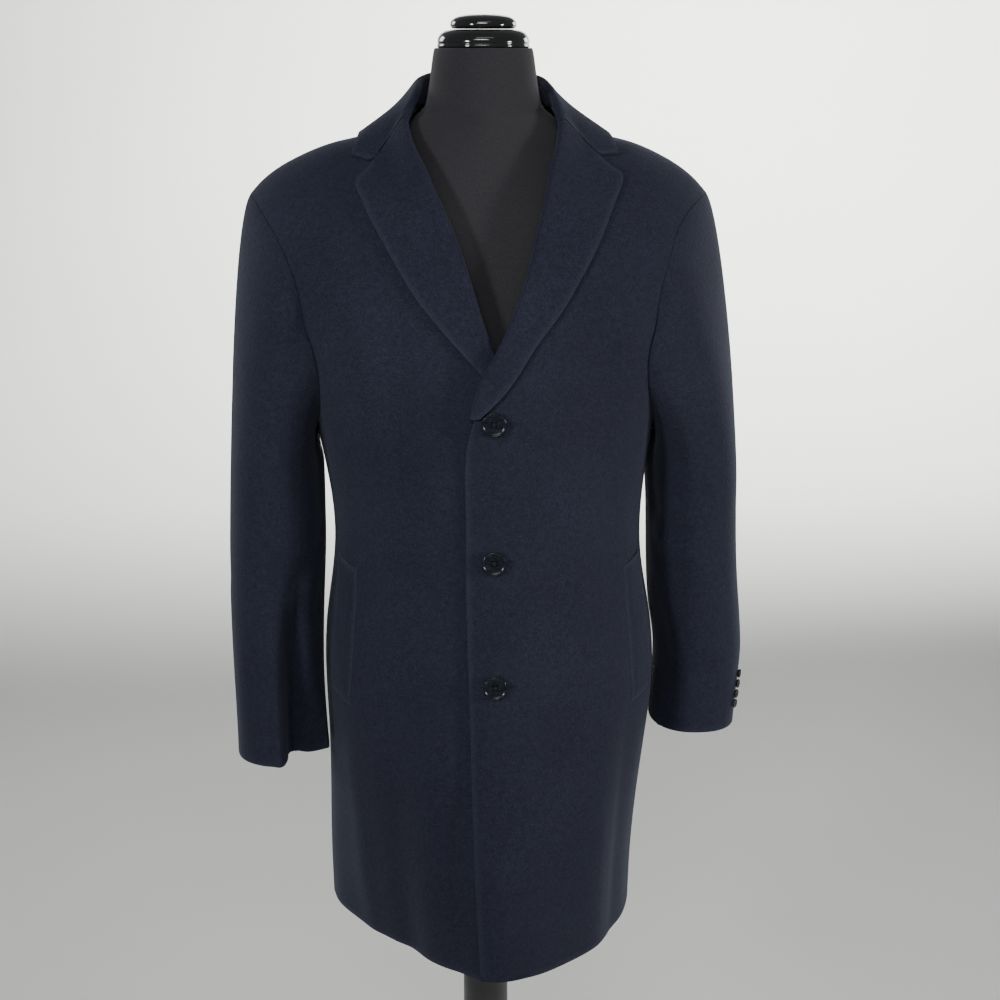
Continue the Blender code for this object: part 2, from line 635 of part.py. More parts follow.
def stand_half(side, across, share):
    """Middle surface of one half of the stand: a band from the neckline up to the fall's inner edge."""
    seam, normal = neckline(side, share), neckline_normal(side, share)
    none = np.zeros_like(share)
    top = fall_half(side, none, share)
    tangent = unit(fall_half(side, none + 0.01, share) - top)
    rise = unit(top - seam)
    lean = np.abs((rise * normal).sum(axis=-1, keepdims=True))
    low = seam + rise * joint_gap(lean, np.sqrt(1.0 - np.minimum(lean, 1.0) ** 2), CLOTH / 2)
    level = np.abs((rise * tangent).sum(axis=-1, keepdims=True))
    high = top - rise * joint_gap(np.sqrt(1.0 - np.minimum(level, 1.0) ** 2), level, COLLAR_WALL / 2)
    return blend(low, high, across[..., None])


def collar_stand(across, along):
    """The band that holds the collar up."""
    across, along = np.broadcast_arrays(np.asarray(across, float), np.asarray(along, float))
    share = np.abs(2.0 * along - 1.0) * STAND_REACH
    return np.where((along >= 0.5)[..., None], stand_half(1, across, share), stand_half(-1, across, share))


# ---- sleeves ------------------------------------------------------------------------------------


def sleeve_section(side, turn, z):
    """Point of a sleeve's level section. The turn is 0 at its outermost line and positive in front."""
    table = SLEEVE[side]
    cos, sin = np.cos(turn), np.sin(turn)
    reach = (np.abs(cos) ** SLEEVE_BEND + np.abs(sin) ** SLEEVE_BEND) ** (-1.0 / SLEEVE_BEND)
    degrees = np.degrees(turn)
    stepped = smooth((degrees - DENT_FROM) / DENT_STEP) * smooth((180.0 - degrees) / DENT_FADE)
    x = side * (table.at("middle_x", z) + table.at("half_width", z) * reach * cos)
    y = table.at("middle_y", z) - table.at("half_depth", z) * reach * sin * (1.0 - table.at("dent", z) * stepped)
    return np.stack([x, y, z + 0.0 * x], axis=-1)


def sleeve_start(side, turn):
    """First point and direction of the sleeve at the armhole."""
    turn = (turn + math.pi) % (2 * math.pi) - math.pi
    seam = armhole_point(side, turn)
    top = (1.0 + np.cos(turn)) / 2
    leave = np.stack([side * (1.0 - 0.35 * top), -0.30 * np.sin(turn), -0.80 * top - 0.05], axis=-1)
    leave = unit(leave)
    outward = np.abs(unit_normal_dot(side, turn, leave))
    return seam + leave * (SEAM + 0.0002 + CLOTH / 2 * outward)[..., None], leave


def unit_normal_dot(side, turn, direction):
    """How squarely a direction leaves the body's cloth at the armhole."""
    ahead, ahead_z = armhole(side, True, np.abs(turn))
    behind, behind_z = armhole(side, False, np.abs(turn))
    angle, z = np.where(turn >= 0, ahead, behind), np.where(turn >= 0, ahead_z, behind_z) - 0.003
    step = 1e-3
    normal = np.cross(
        body_point(angle + step, z) - body_point(angle - step, z),
        body_point(angle, z + step) - body_point(angle, z - step),
    )
    return (unit(normal) * direction).sum(axis=-1)


def sleeve_point(side, turn, along):
    """Middle surface of a whole sleeve, from the armhole (along 0) to the cuff (1)."""
    turn, along = np.broadcast_arrays(np.asarray(turn, float), np.asarray(along, float))
    head = np.clip(along / SLEEVE_HEAD_SHARE, 0.0, 1.0)
    lower = np.clip((along - SLEEVE_HEAD_SHARE) / (1.0 - SLEEVE_HEAD_SHARE), 0.0, 1.0)
    z = blend(SLEEVE_TOP_Z, SLEEVE[side].keys[0], lower)
    start, leave = sleeve_start(side, turn)
    wrapped = (turn + math.pi) % (2 * math.pi) - math.pi
    end = sleeve_section(side, wrapped, np.full(turn.shape, SLEEVE_TOP_Z))
    below = sleeve_section(side, wrapped, np.full(turn.shape, SLEEVE_TOP_Z - 0.02))
    arrive = unit(below - end)
    drop = np.linalg.norm(end - start, axis=-1, keepdims=True)
    top = ((1.0 + np.cos(turn)) / 2)[..., None]
    pull = blend(*SLEEVE_PULL, top)
    t = head[..., None]
    curve = (
        start * (2 * t**3 - 3 * t**2 + 1)
        + leave * pull * (t**3 - 2 * t**2 + t)
        + end * (3 * t**2 - 2 * t**3)
        + arrive * drop * (t**3 - t**2)
    )
    return np.where((lower > 0)[..., None], sleeve_section(side, wrapped, z), curve)


def sleeve_height(side, along):
    """Height at which a row of the sleeve reads its table."""
    lower = np.clip((along - SLEEVE_HEAD_SHARE) / (1.0 - SLEEVE_HEAD_SHARE), 0.0, 1.0)
    return blend(SLEEVE_TOP_Z, SLEEVE[side].keys[0], lower)


def seam_turn(side, column, along):
    return np.radians(SLEEVE[side].at(column, sleeve_height(side, along)))


def topsleeve_point(side, across, along):
    """Outer half of the sleeve, from the back seam (across 0) over the outside to the front seam (1)."""
    across, along = np.broadcast_arrays(np.asarray(across, float), np.asarray(along, float))
    back, front = seam_turn(side, "back_seam", along), seam_turn(side, "front_seam", along)
    return sleeve_point(side, blend(back + SEAM_TURN, front - SEAM_TURN, across), along)


def undersleeve_point(side, across, along):
    """Inner half of the sleeve, from the front seam (across 0) past the body to the back seam (1)."""
    across, along = np.broadcast_arrays(np.asarray(across, float), np.asarray(along, float))
    back, front = seam_turn(side, "back_seam", along), seam_turn(side, "front_seam", along)
    return sleeve_point(side, blend(front + SEAM_TURN, back + 2 * math.pi - SEAM_TURN, across), along)


# ---- pockets ------------------------------------------------------------------------------------


def welt_point(side, across, up):
    """Middle surface of a pocket welt, from its front edge (across 0) backwards, and from its foot up."""
    across, up = np.broadcast_arrays(np.asarray(across, float), np.asarray(up, float))
    z = blend(WELT_TOP_Z - WELT_LENGTH, WELT_TOP_Z, up) - WELT_DROP * (1.0 - across)
    front = body_angle(side * WELT_FRONT_X, z)
    turn = front + side * (WELT_TURN * across + WELT_SLANT * (1.0 - up))
    point = body_point(turn, z)
    step = 1e-3
    normal = unit(
        np.cross(
            body_point(turn + step, z) - body_point(turn - step, z),
            body_point(turn, z + step) - body_point(turn, z - step),
        )
    )
    return point + normal * (WELT_LIFT + WELT_STAND * across**2 * up**2)[..., None]


# ---- mesh builders ------------------------------------------------------------------------------


def wall_points(point, across, along, lift, thickness):
    """Outer and inner grids of a wall about a middle surface."""
    u, v = np.meshgrid(across, along)
    step = 3e-4
    u_low, u_high = np.maximum(u - step, 0.0), np.minimum(u + step, 1.0)
    v_low, v_high = np.maximum(v - step, 0.0), np.minimum(v + step, 1.0)
    middle = point(u, v)
    normal = unit(np.cross(point(u_high, v) - point(u_low, v), point(u, v_high) - point(u, v_low)))
    offset = lift(middle) if lift else np.zeros(u.shape)
    middle = middle + normal * offset[..., None]
    return middle + normal * thickness / 2, middle - normal * thickness / 2


def wall(name, point, across, along, material, lift=None, thickness=CLOTH):
    """Closed sheet of cloth from a middle surface `point(across, along)`."""
    outer, inner = wall_points(point, across, along, lift, thickness)
    rows, columns = outer.shape[:2]
    model = bmesh.new()
    near = [[model.verts.new(outer[i, j]) for j in range(columns)] for i in range(rows)]
    far = [[model.verts.new(inner[i, j]) for j in range(columns)] for i in range(rows)]
    for i in range(rows - 1):
        for j in range(columns - 1):
            model.faces.new((near[i][j], near[i][j + 1], near[i + 1][j + 1], near[i + 1][j]))
            model.faces.new((far[i][j], far[i + 1][j], far[i + 1][j + 1], far[i][j + 1]))
    border = [(0, j) for j in range(columns)] + [(i, columns - 1) for i in range(1, rows)]
    border += [(rows - 1, j) for j in range(columns - 2, -1, -1)] + [(i, 0) for i in range(rows - 2, 0, -1)]
    for index, (i, j) in enumerate(border):
        k, m = border[(index + 1) % len(border)]
        model.faces.new((near[i][j], far[i][j], far[k][m], near[k][m]))
    return finished(name, model, material)


def turned(name, profile, material, steps=24):
    """Solid of revolution about Z from (radius, height) pairs that start and end on the axis."""
    model = bmesh.new()
    points = [model.verts.new((radius, 0.0, height)) for radius, height in profile]
    edges = [model.edges.new(pair) for pair in zip(points, points[1:])]
    bmesh.ops.spin(
        model,
        geom=points + edges,
        cent=(0, 0, 0),
        axis=(0, 0, 1),
        angle=2 * math.pi,
        steps=steps,
        use_merge=True,
    )
    bmesh.ops.remove_doubles(model, verts=model.verts, dist=1e-6)
    return finished(name, model, material)


def ringed(name, rings, material):
    """Closed solid through level rings of equal length, capped at both ends."""
    model = bmesh.new()
    loops = [[model.verts.new(point) for point in ring] for ring in rings]
    count = len(loops[0])
    for low, high in zip(loops, loops[1:]):
        for j in range(count):
            k = (j + 1) % count
            model.faces.new((low[j], low[k], high[k], high[j]))
    model.faces.new(loops[0])
    model.faces.new(loops[-1])
    return finished(name, model, material)


def finished(name, model, material):
    """Turns a bmesh into a named object with its faces outward."""
    bmesh.ops.recalc_face_normals(model, faces=model.faces)
    mesh = bpy.data.meshes.new(name)
    model.to_mesh(mesh)
    model.free()
    mesh.materials.append(material)
    mesh.shade_smooth()
    mesh.set_sharp_from_angle(angle=math.radians(40))
    item = bpy.data.objects.new(name, mesh)
    bpy.context.scene.collection.objects.link(item)
    return item


def finish(name, colour, roughness, metallic=0.0):
    """Plain material: colour as linear red, green and blue."""
    material = bpy.data.materials.new(name)
    material.use_nodes = True
    shader = material.node_tree.nodes["Principled BSDF"]
    shader.inputs["Base Color"].default_value = (*colour, 1.0)
    shader.inputs["Roughness"].default_value = roughness
    shader.inputs["Metallic"].default_value = metallic
    material.diffuse_color = (*colour, 1.0)
    return material


def shares(count, low=0.0, high=1.0):
    return np.linspace(low, high, count)


# ---- pieces -------------------------------------------------------------------------------------


def make_panels(cloth):
    """Two fronts and two backs, on rows that meet at the side seams."""
    rows = np.concatenate([shares(9, 0.0, LOWER_SHARE)[:-1], shares(19, LOWER_SHARE, 1.0)])
    for side, name in ((1, "left"), (-1, "right")):
        lift = (lambda middle: overlap_lift(middle[..., 0], middle[..., 2])) if side > 0 else None
        wall(f"{name}_front", lambda u, v, side=side: front_point(side, u, v), shares(14), rows, cloth, lift)
        beside_neck = math.pi - body_angle(side * NECK_POINT_X, NECK_POINT_Z, False)
        neck = float(beside_neck / (math.pi - armhole(side, False, 0.0)[0]))
        across = np.concatenate([neck * np.sin(shares(7) * math.pi / 2)[:-1], shares(7, neck, 1.0)])
        wall(f"{name}_back", lambda u, v, side=side: back_point(side, u, v), across, rows, cloth)


def make_sleeves(cloth):
    head = SLEEVE_HEAD_SHARE * np.array([0.0, 0.07, 0.16, 0.29, 0.47, 0.72])
    along = np.concatenate([head, shares(SLEEVE_ROWS, SLEEVE_HEAD_SHARE, 1.0)])
    for side, name in ((1, "left"), (-1, "right")):
        wall(
            f"{name}_topsleeve",
            lambda u, v, side=side: topsleeve_point(side, u, v),
            shares(23),
            along,
            cloth,
        )
        wall(
            f"{name}_undersleeve",
            lambda u, v, side=side: undersleeve_point(side, u, v),
            shares(15),
            along,
            cloth,
        )


def make_collar(cloth):
    wall("collar_stand", collar_stand, shares(3), shares(21), cloth)
    across = np.array([0.0, 0.07, 0.14, FOLD_SHARE, 0.34, 0.48, 0.62, NOTCH_SHARE, 0.87, 1.0])
    wall("collar_fall", collar_fall, across, shares(33), cloth, thickness=COLLAR_WALL)
    for side, name in ((1, "left"), (-1, "right")):
        wall(
            f"{name}_lapel",
            lambda u, v, side=side: lapel_point(side, u, v),
            np.concatenate([shares(5, 0.0, ROLL_SHARE)[:-1], shares(7, ROLL_SHARE, 1.0)]),
            shares(16),
            cloth,
            thickness=COLLAR_WALL,
        )


def make_welts(cloth):
    for side, name in ((1, "left"), (-1, "right")):
        wall(f"{name}_welt", lambda u, v, side=side: welt_point(side, u, v), shares(5), shares(8), cloth)


def small_button_profile(radius, depth, shank, shank_height):
    """Radius and height pairs of a small button with a rounded rim, on a thread shank."""
    floor = shank_height
    return (
        (0.0, 0.0),
        (shank, 0.0),
        (shank, floor),
        (0.9 * radius, floor),
        (radius, floor + 0.6 * depth),
        (0.85 * radius, floor + depth),
        (0.6 * radius, floor + 0.65 * depth),
        (0.0, floor + 0.6 * depth),
    )


def button_profile(radius, depth, shank, shank_height):
    """Radius and height pairs of a sew-through button with a raised rim, a dished middle and a thread shank."""
    floor = shank_height
    return (
        (0.0, 0.0),
        (shank, 0.0),
        (shank, floor),
        (0.86 * radius, floor),
        (radius, floor + 0.45 * depth),
        (0.97 * radius, floor + 0.85 * depth),
        (0.88 * radius, floor + depth),
        (0.78 * radius, floor + 0.93 * depth),
        (0.66 * radius, floor + 0.60 * depth),
        (0.0, floor + 0.52 * depth),
    )


def placed(item, point, normal):
    """Stands an object on a surface point, its Z along the normal."""
    x_axis = unit(np.cross((0.0, 0.0, 1.0), normal))
    y_axis = np.cross(normal, x_axis)
    turn = Matrix(np.array([x_axis, y_axis, normal]).T.tolist()).to_4x4()
    item.matrix_world = Matrix.Translation(point.tolist()) @ turn


def cuff_seat(side, z):
    """Point of the topsleeve's own facet beside its back seam at height z, and the facet's outward normal."""
    heights = blend(SLEEVE_TOP_Z, SLEEVE[side].keys[0], shares(SLEEVE_ROWS))
    rows = shares(SLEEVE_ROWS, SLEEVE_HEAD_SHARE, 1.0)
    low = int(np.sum(heights > z)) - 1
    share = (heights[low] - z) / (heights[low] - heights[low + 1])
    across = CUFF_BUTTON_SHARE + np.array([0.0, 0.02])
    above, below = topsleeve_point(side, across, rows[low]), topsleeve_point(side, across, rows[low + 1])
    line = blend(above, below, share)
    normal = unit(np.cross(line[1] - line[0], below[0] - above[0])) * side
    return line[0], normal


def make_buttons(horn):
    for index, z in enumerate(BUTTON_HEIGHTS, 1):
        profile = button_profile(BUTTON_RADIUS, BUTTON_DEPTH, 0.0032, 0.0016)
        item = turned(f"front_button_{index}", profile, horn, steps=18)
        x = np.array(BUTTON_LINE_X)
        point = on_front(1, x, np.array(z), np.array(CLOTH / 2 + 0.0004))
        placed(item, point, front_surface(x, np.array(z))[1])
    for side, name in ((1, "left"), (-1, "right")):
        for index in range(CUFF_BUTTON_COUNT):
            profile = small_button_profile(CUFF_BUTTON_RADIUS, CUFF_BUTTON_DEPTH, 0.0018, 0.0008)
            item = turned(f"{name}_cuff_button_{index + 1}", profile, horn, steps=10)
            point, normal = cuff_seat(side, SLEEVE[side].keys[0] + CUFF_BUTTON_START + CUFF_BUTTON_PITCH * index)
            placed(item, point + normal * (CLOTH / 2 + 0.0004), normal)


def lowered_shoulder(x):
    """Height of the form's own shoulder line: under the cloth's inner face, clear of it."""
    slope = (shoulder_z(x + 0.001) - shoulder_z(x - 0.001)) / 0.002
    beside_neck = NECK_DROP * (1.0 - smooth((np.abs(x) - NECK_POINT_X) / 0.03))
    return shoulder_z(x) - (CLOTH / 2 + FORM_CLEARANCE) * np.sqrt(1.0 + slope**2) - beside_neck


def form_ring(z, count=13):
    """Level ring of the form: the front from right to left, then the back. Wide rings end at the arm plates."""
    reach = np.linspace(0.0, 0.25, 1001)
    sides = []
    for side in (-1, 1):
        under = reach[lowered_shoulder(side * reach) > z]
        ridge = under[-1] if len(under) else 0.0
        sides.append(max(min(ridge, FORM_PLATE_X, FORM.at("half", z)), NECK.at("half", z)))
    turn = np.linspace(-math.pi / 2, math.pi / 2, count)
    x = np.where(turn < 0, sides[0], sides[1]) * np.sin(turn)
    width = max(FORM.at("half", z), *sides)
    torso = np.sqrt(np.clip(1.0 - np.abs(x / width) ** 2.3, 0.0, 1.0))
    depth = np.clip((lowered_shoulder(x) - z) / SHOULDER_ROUND, 0.0, 1.0)
    torso = torso * np.sqrt(np.clip(1.0 - (1.0 - depth) ** 2, 0.0, 1.0))
    round_neck = np.sqrt(np.clip(1.0 - (x / NECK.at("half", z)) ** 2, 0.0, 1.0))
    if z < NECK.keys[0]:
        round_neck = 0.0 * round_neck
    front = -np.maximum(np.maximum(FORM.at("front", z) * torso, NECK.at("front", z) * round_neck), 0.0008)
    back = np.maximum(np.maximum(FORM.at("back", z) * torso, NECK.at("back", z) * round_neck), 0.0008)
    ring = [(px, py, z) for px, py in zip(x, front)]
    return ring + [(px, py, z) for px, py in zip(x[::-1], back[::-1])]


def make_form(jersey, gloss, steel):
    """Torso with neck, two-tier cap, pole and base."""
    heights = [*np.linspace(FORM_BOTTOM_Z, 1.36, 9), 1.378, 1.392, 1.404, 1.415, 1.424, 1.432, 1.439, 1.446]
    heights += [1.453, 1.460, 1.467, 1.474, 1.481, 1.488, 1.498, 1.515, NECK_TOP_Z - 0.004]
    rings = [form_ring(z) for z in heights]
    top = np.array(rings[-1])
    top[:, :2] *= 0.94
    top[:, 2] = NECK_TOP_Z
    ringed("form_torso", [*rings, top.tolist()], jersey)
    low = NECK_TOP_Z + SEAM
    turned(
        "neck_cap",
        (
            (0.0, low),
            (0.0470, low),
            (0.0500, low + 0.0008),
            (0.0502, low + 0.0030),
            (0.0494, low + 0.0040),
            (0.0498, low + 0.0060),
            (0.0492, low + 0.0105),
            (0.0462, low + 0.0155),
            (0.0410, low + 0.0185),
            (0.0350, low + 0.0195),
            (0.0, low + 0.0195),
        ),
        gloss,
        steps=28,
    )
    low = low + 0.0195 + SEAM
    turned(
        "neck_knob",
        (
            (0.0, low),
            (0.0320, low),
            (0.0350, low + 0.0012),
            (0.0362, low + 0.0040),
            (0.0350, low + 0.0085),
            (0.0300, low + 0.0125),
            (0.0200, low + 0.0150),
            (0.0, low + 0.0158),
        ),
        gloss,
        steps=28,
    )
    turned(
        "pole",
        (
            (0.0, BASE_HEIGHT + SEAM),
            (POLE_RADIUS, BASE_HEIGHT + SEAM),
            (POLE_RADIUS, FORM_BOTTOM_Z - 0.030),
            (POLE_RADIUS + 0.010, FORM_BOTTOM_Z - 0.022),
            (POLE_RADIUS + 0.016, FORM_BOTTOM_Z - SEAM),
            (0.0, FORM_BOTTOM_Z - SEAM),
        ),
        steel,
        steps=28,
    )
    turned(
        "base",
        (
            (0.0, 0.0),
            (BASE_RADIUS, 0.0),
            (BASE_RADIUS, BASE_HEIGHT * 0.45),
            (BASE_RADIUS - 0.006, BASE_HEIGHT * 0.8),
            (BASE_RADIUS - 0.016, BASE_HEIGHT),
            (0.0, BASE_HEIGHT),
        ),
        steel,
        steps=32,
    )


def main():
    for item in list(bpy.data.objects):
        bpy.data.objects.remove(item, do_unlink=True)
    cloth = finish("navy_wool", (0.010, 0.013, 0.026), 0.9)
    horn = finish("dark_horn", (0.008, 0.009, 0.014), 0.25)
    jersey = finish("black_jersey", (0.024, 0.024, 0.028), 0.8)
    gloss = finish("black_gloss", (0.006, 0.006, 0.006), 0.12)
    steel = finish("black_steel", (0.010, 0.010, 0.011), 0.35, 0.6)
    make_panels(cloth)
    make_sleeves(cloth)
    make_collar(cloth)
    make_welts(cloth)
    make_buttons(horn)
    make_form(jersey, gloss, steel)


if __name__ == "__main__":
    main()
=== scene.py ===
"""A man's navy wool overcoat, buttoned on a limbless dress form: the finished look of each piece.

Metres, +Z up. The coat faces -Y and +X is the wearer's left. Each cut piece of cloth is made from its own
solid: its outer side is rounded, given its soft creases and turned into a thin wall with felted edges.
"""

from __future__ import annotations

import json
import logging
import math
from collections.abc import Iterator, Sequence
from contextlib import contextmanager
from dataclasses import dataclass, field
from enum import Enum
from typing import ClassVar

import bmesh
import bpy
import numpy as np
from mathutils import Matrix, Vector
from mathutils.bvhtree import BVHTree
from mathutils.kdtree import KDTree

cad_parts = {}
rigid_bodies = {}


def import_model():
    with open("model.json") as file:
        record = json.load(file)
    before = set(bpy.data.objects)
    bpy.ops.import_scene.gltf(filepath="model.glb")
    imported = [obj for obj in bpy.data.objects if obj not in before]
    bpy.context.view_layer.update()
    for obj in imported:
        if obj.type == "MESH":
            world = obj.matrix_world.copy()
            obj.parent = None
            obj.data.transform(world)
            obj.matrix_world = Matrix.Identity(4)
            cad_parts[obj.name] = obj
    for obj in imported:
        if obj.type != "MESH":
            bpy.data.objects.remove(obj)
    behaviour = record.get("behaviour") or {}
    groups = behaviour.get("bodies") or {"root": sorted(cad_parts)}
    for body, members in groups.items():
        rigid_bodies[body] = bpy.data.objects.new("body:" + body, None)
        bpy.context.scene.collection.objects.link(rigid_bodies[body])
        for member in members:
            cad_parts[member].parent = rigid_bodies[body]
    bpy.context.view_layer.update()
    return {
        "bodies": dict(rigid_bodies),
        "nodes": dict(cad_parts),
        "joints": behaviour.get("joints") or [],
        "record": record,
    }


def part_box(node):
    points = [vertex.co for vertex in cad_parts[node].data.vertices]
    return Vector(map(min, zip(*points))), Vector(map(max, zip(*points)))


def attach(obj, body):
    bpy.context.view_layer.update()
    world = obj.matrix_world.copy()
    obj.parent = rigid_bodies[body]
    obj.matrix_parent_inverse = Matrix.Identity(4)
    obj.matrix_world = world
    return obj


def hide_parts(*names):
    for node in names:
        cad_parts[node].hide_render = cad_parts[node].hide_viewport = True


LOG = logging.getLogger("overcoat")

ROOT_BODY = "root"
WOOL_SLOT = "navy_wool"

Colour = tuple[float, float, float, float]
Profile = Sequence[tuple[float, float]]
Socket = bpy.types.NodeSocket
Item = bpy.types.Object
Mesh = bpy.types.Mesh
Material = bpy.types.Material

# ---- sizes that several pieces share --------------------------------------------------------------

CLOTH = 0.0026  # felted coating
PRESSED_CLOTH = 0.0030  # two layers pressed as one, on the collar and the lapels
FELTED_EDGE = 0.0010  # rounding of a cut or turned edge
EDGE_STEPS = 2
EDGE_TURN = math.radians(50)  # sharper edges of a cloth's wall are felted
EDGE_REACH = 0.0045  # how far in from a free edge the nap is raised and the highlight is painted
MERGE = 1e-5  # corners nearer than this are one
TINY = 1e-6
SIDE_TURN = math.radians(62)  # sharper turns than this part a wall's outer side from its edge
SLEEVE_TURN = math.radians(40)  # the same for a sleeve, whose outer side is smooth and whose edges slant
SLIVER = 0.0034  # narrower strips of a back's outer side are closed, so that they don't fold
FLAT_TURN = math.radians(60)  # two triangles within this angle are halves of one quad
FIT_ROUNDS = 5  # passes that bring the rounded surface back through the solid's corners
CORNER_SHARE = 0.45  # a corner's rounding takes up to this much of each side next to it
BODY_GIRTH_RADIUS = 0.19
ARM_GIRTH_RADIUS = 0.055
WORLD_UP = Vector((0.0, 0.0, 1.0))
INWARDS = Vector((0.0, 1.0, 0.0))  # from before the coat into its front
LEAST_MOVE = 0.00002  # creases shallower than this are left out
SEAM_CATCH = 0.0030  # edges nearer than this are sewn
SEAM_LAP = 0.0006  # how far each sewn edge reaches past the seam
SEWN_REACH = 0.0045  # an edge this near another piece's edge is sewn to it
WELT_WIDTH = 0.052
WELT_ROW = 0.006
WELT_ROLL = 0.016  # width of the welt's rounding along its seam
WELT_EDGE_LIFT = 0.00015
WELT_MOUTH_LIFT = 0.0012
WELT_FILL = 0.85  # share of the welt's lift that its own thickness fills
THICKNESS_GROUP = "thickness"


class Core(Enum):
    """The upright line that a piece faces away from, with the radius its girth is measured at."""

    BODY = (0.0, 0.0, BODY_GIRTH_RADIUS)
    LEFT_ARM = (0.243, 0.0, ARM_GIRTH_RADIUS)
    RIGHT_ARM = (-0.237, -0.008, ARM_GIRTH_RADIUS)


class Held(Enum):
    """How a sheet of cloth hangs."""

    DRAPED = "draped"
    HUNG = "hung"
    FOLDED = "folded"


# ---- colour and node helpers ----------------------------------------------------------------------


def rgba(red: float, green: float, blue: float) -> Colour:
    """A linear colour with full opacity."""
    return (red, green, blue, 1.0)


def toned(shade: Colour, *shares: float) -> Colour:
    """A colour with its red, green and blue multiplied, all by one share or each by its own."""
    red, green, blue = shares * 3 if len(shares) == 1 else shares
    return rgba(shade[0] * red, shade[1] * green, shade[2] * blue)


def feed(tree: bpy.types.NodeTree, inputs: Sequence[Socket], values: Sequence[object]) -> None:
    """Links each input to the socket given for it, or sets its plain value.

    Args:
        tree: The node tree.
        inputs: The input sockets.
        values: A socket or a plain value for each.
    """
    for socket, value in zip(inputs, values):
        if isinstance(value, Socket):
            tree.links.new(value, socket)
        else:
            socket.default_value = value


def arithmetic(tree: bpy.types.NodeTree, operation: str, *values: object) -> Socket:
    """Works out one step of arithmetic.

    Args:
        tree: The node tree.
        operation: Blender's name for the step.
        values: Sockets or numbers.

    Returns:
        The result's socket.
    """
    node = tree.nodes.new("ShaderNodeMath")
    node.operation = operation
    feed(tree, node.inputs, values)
    return node.outputs[0]


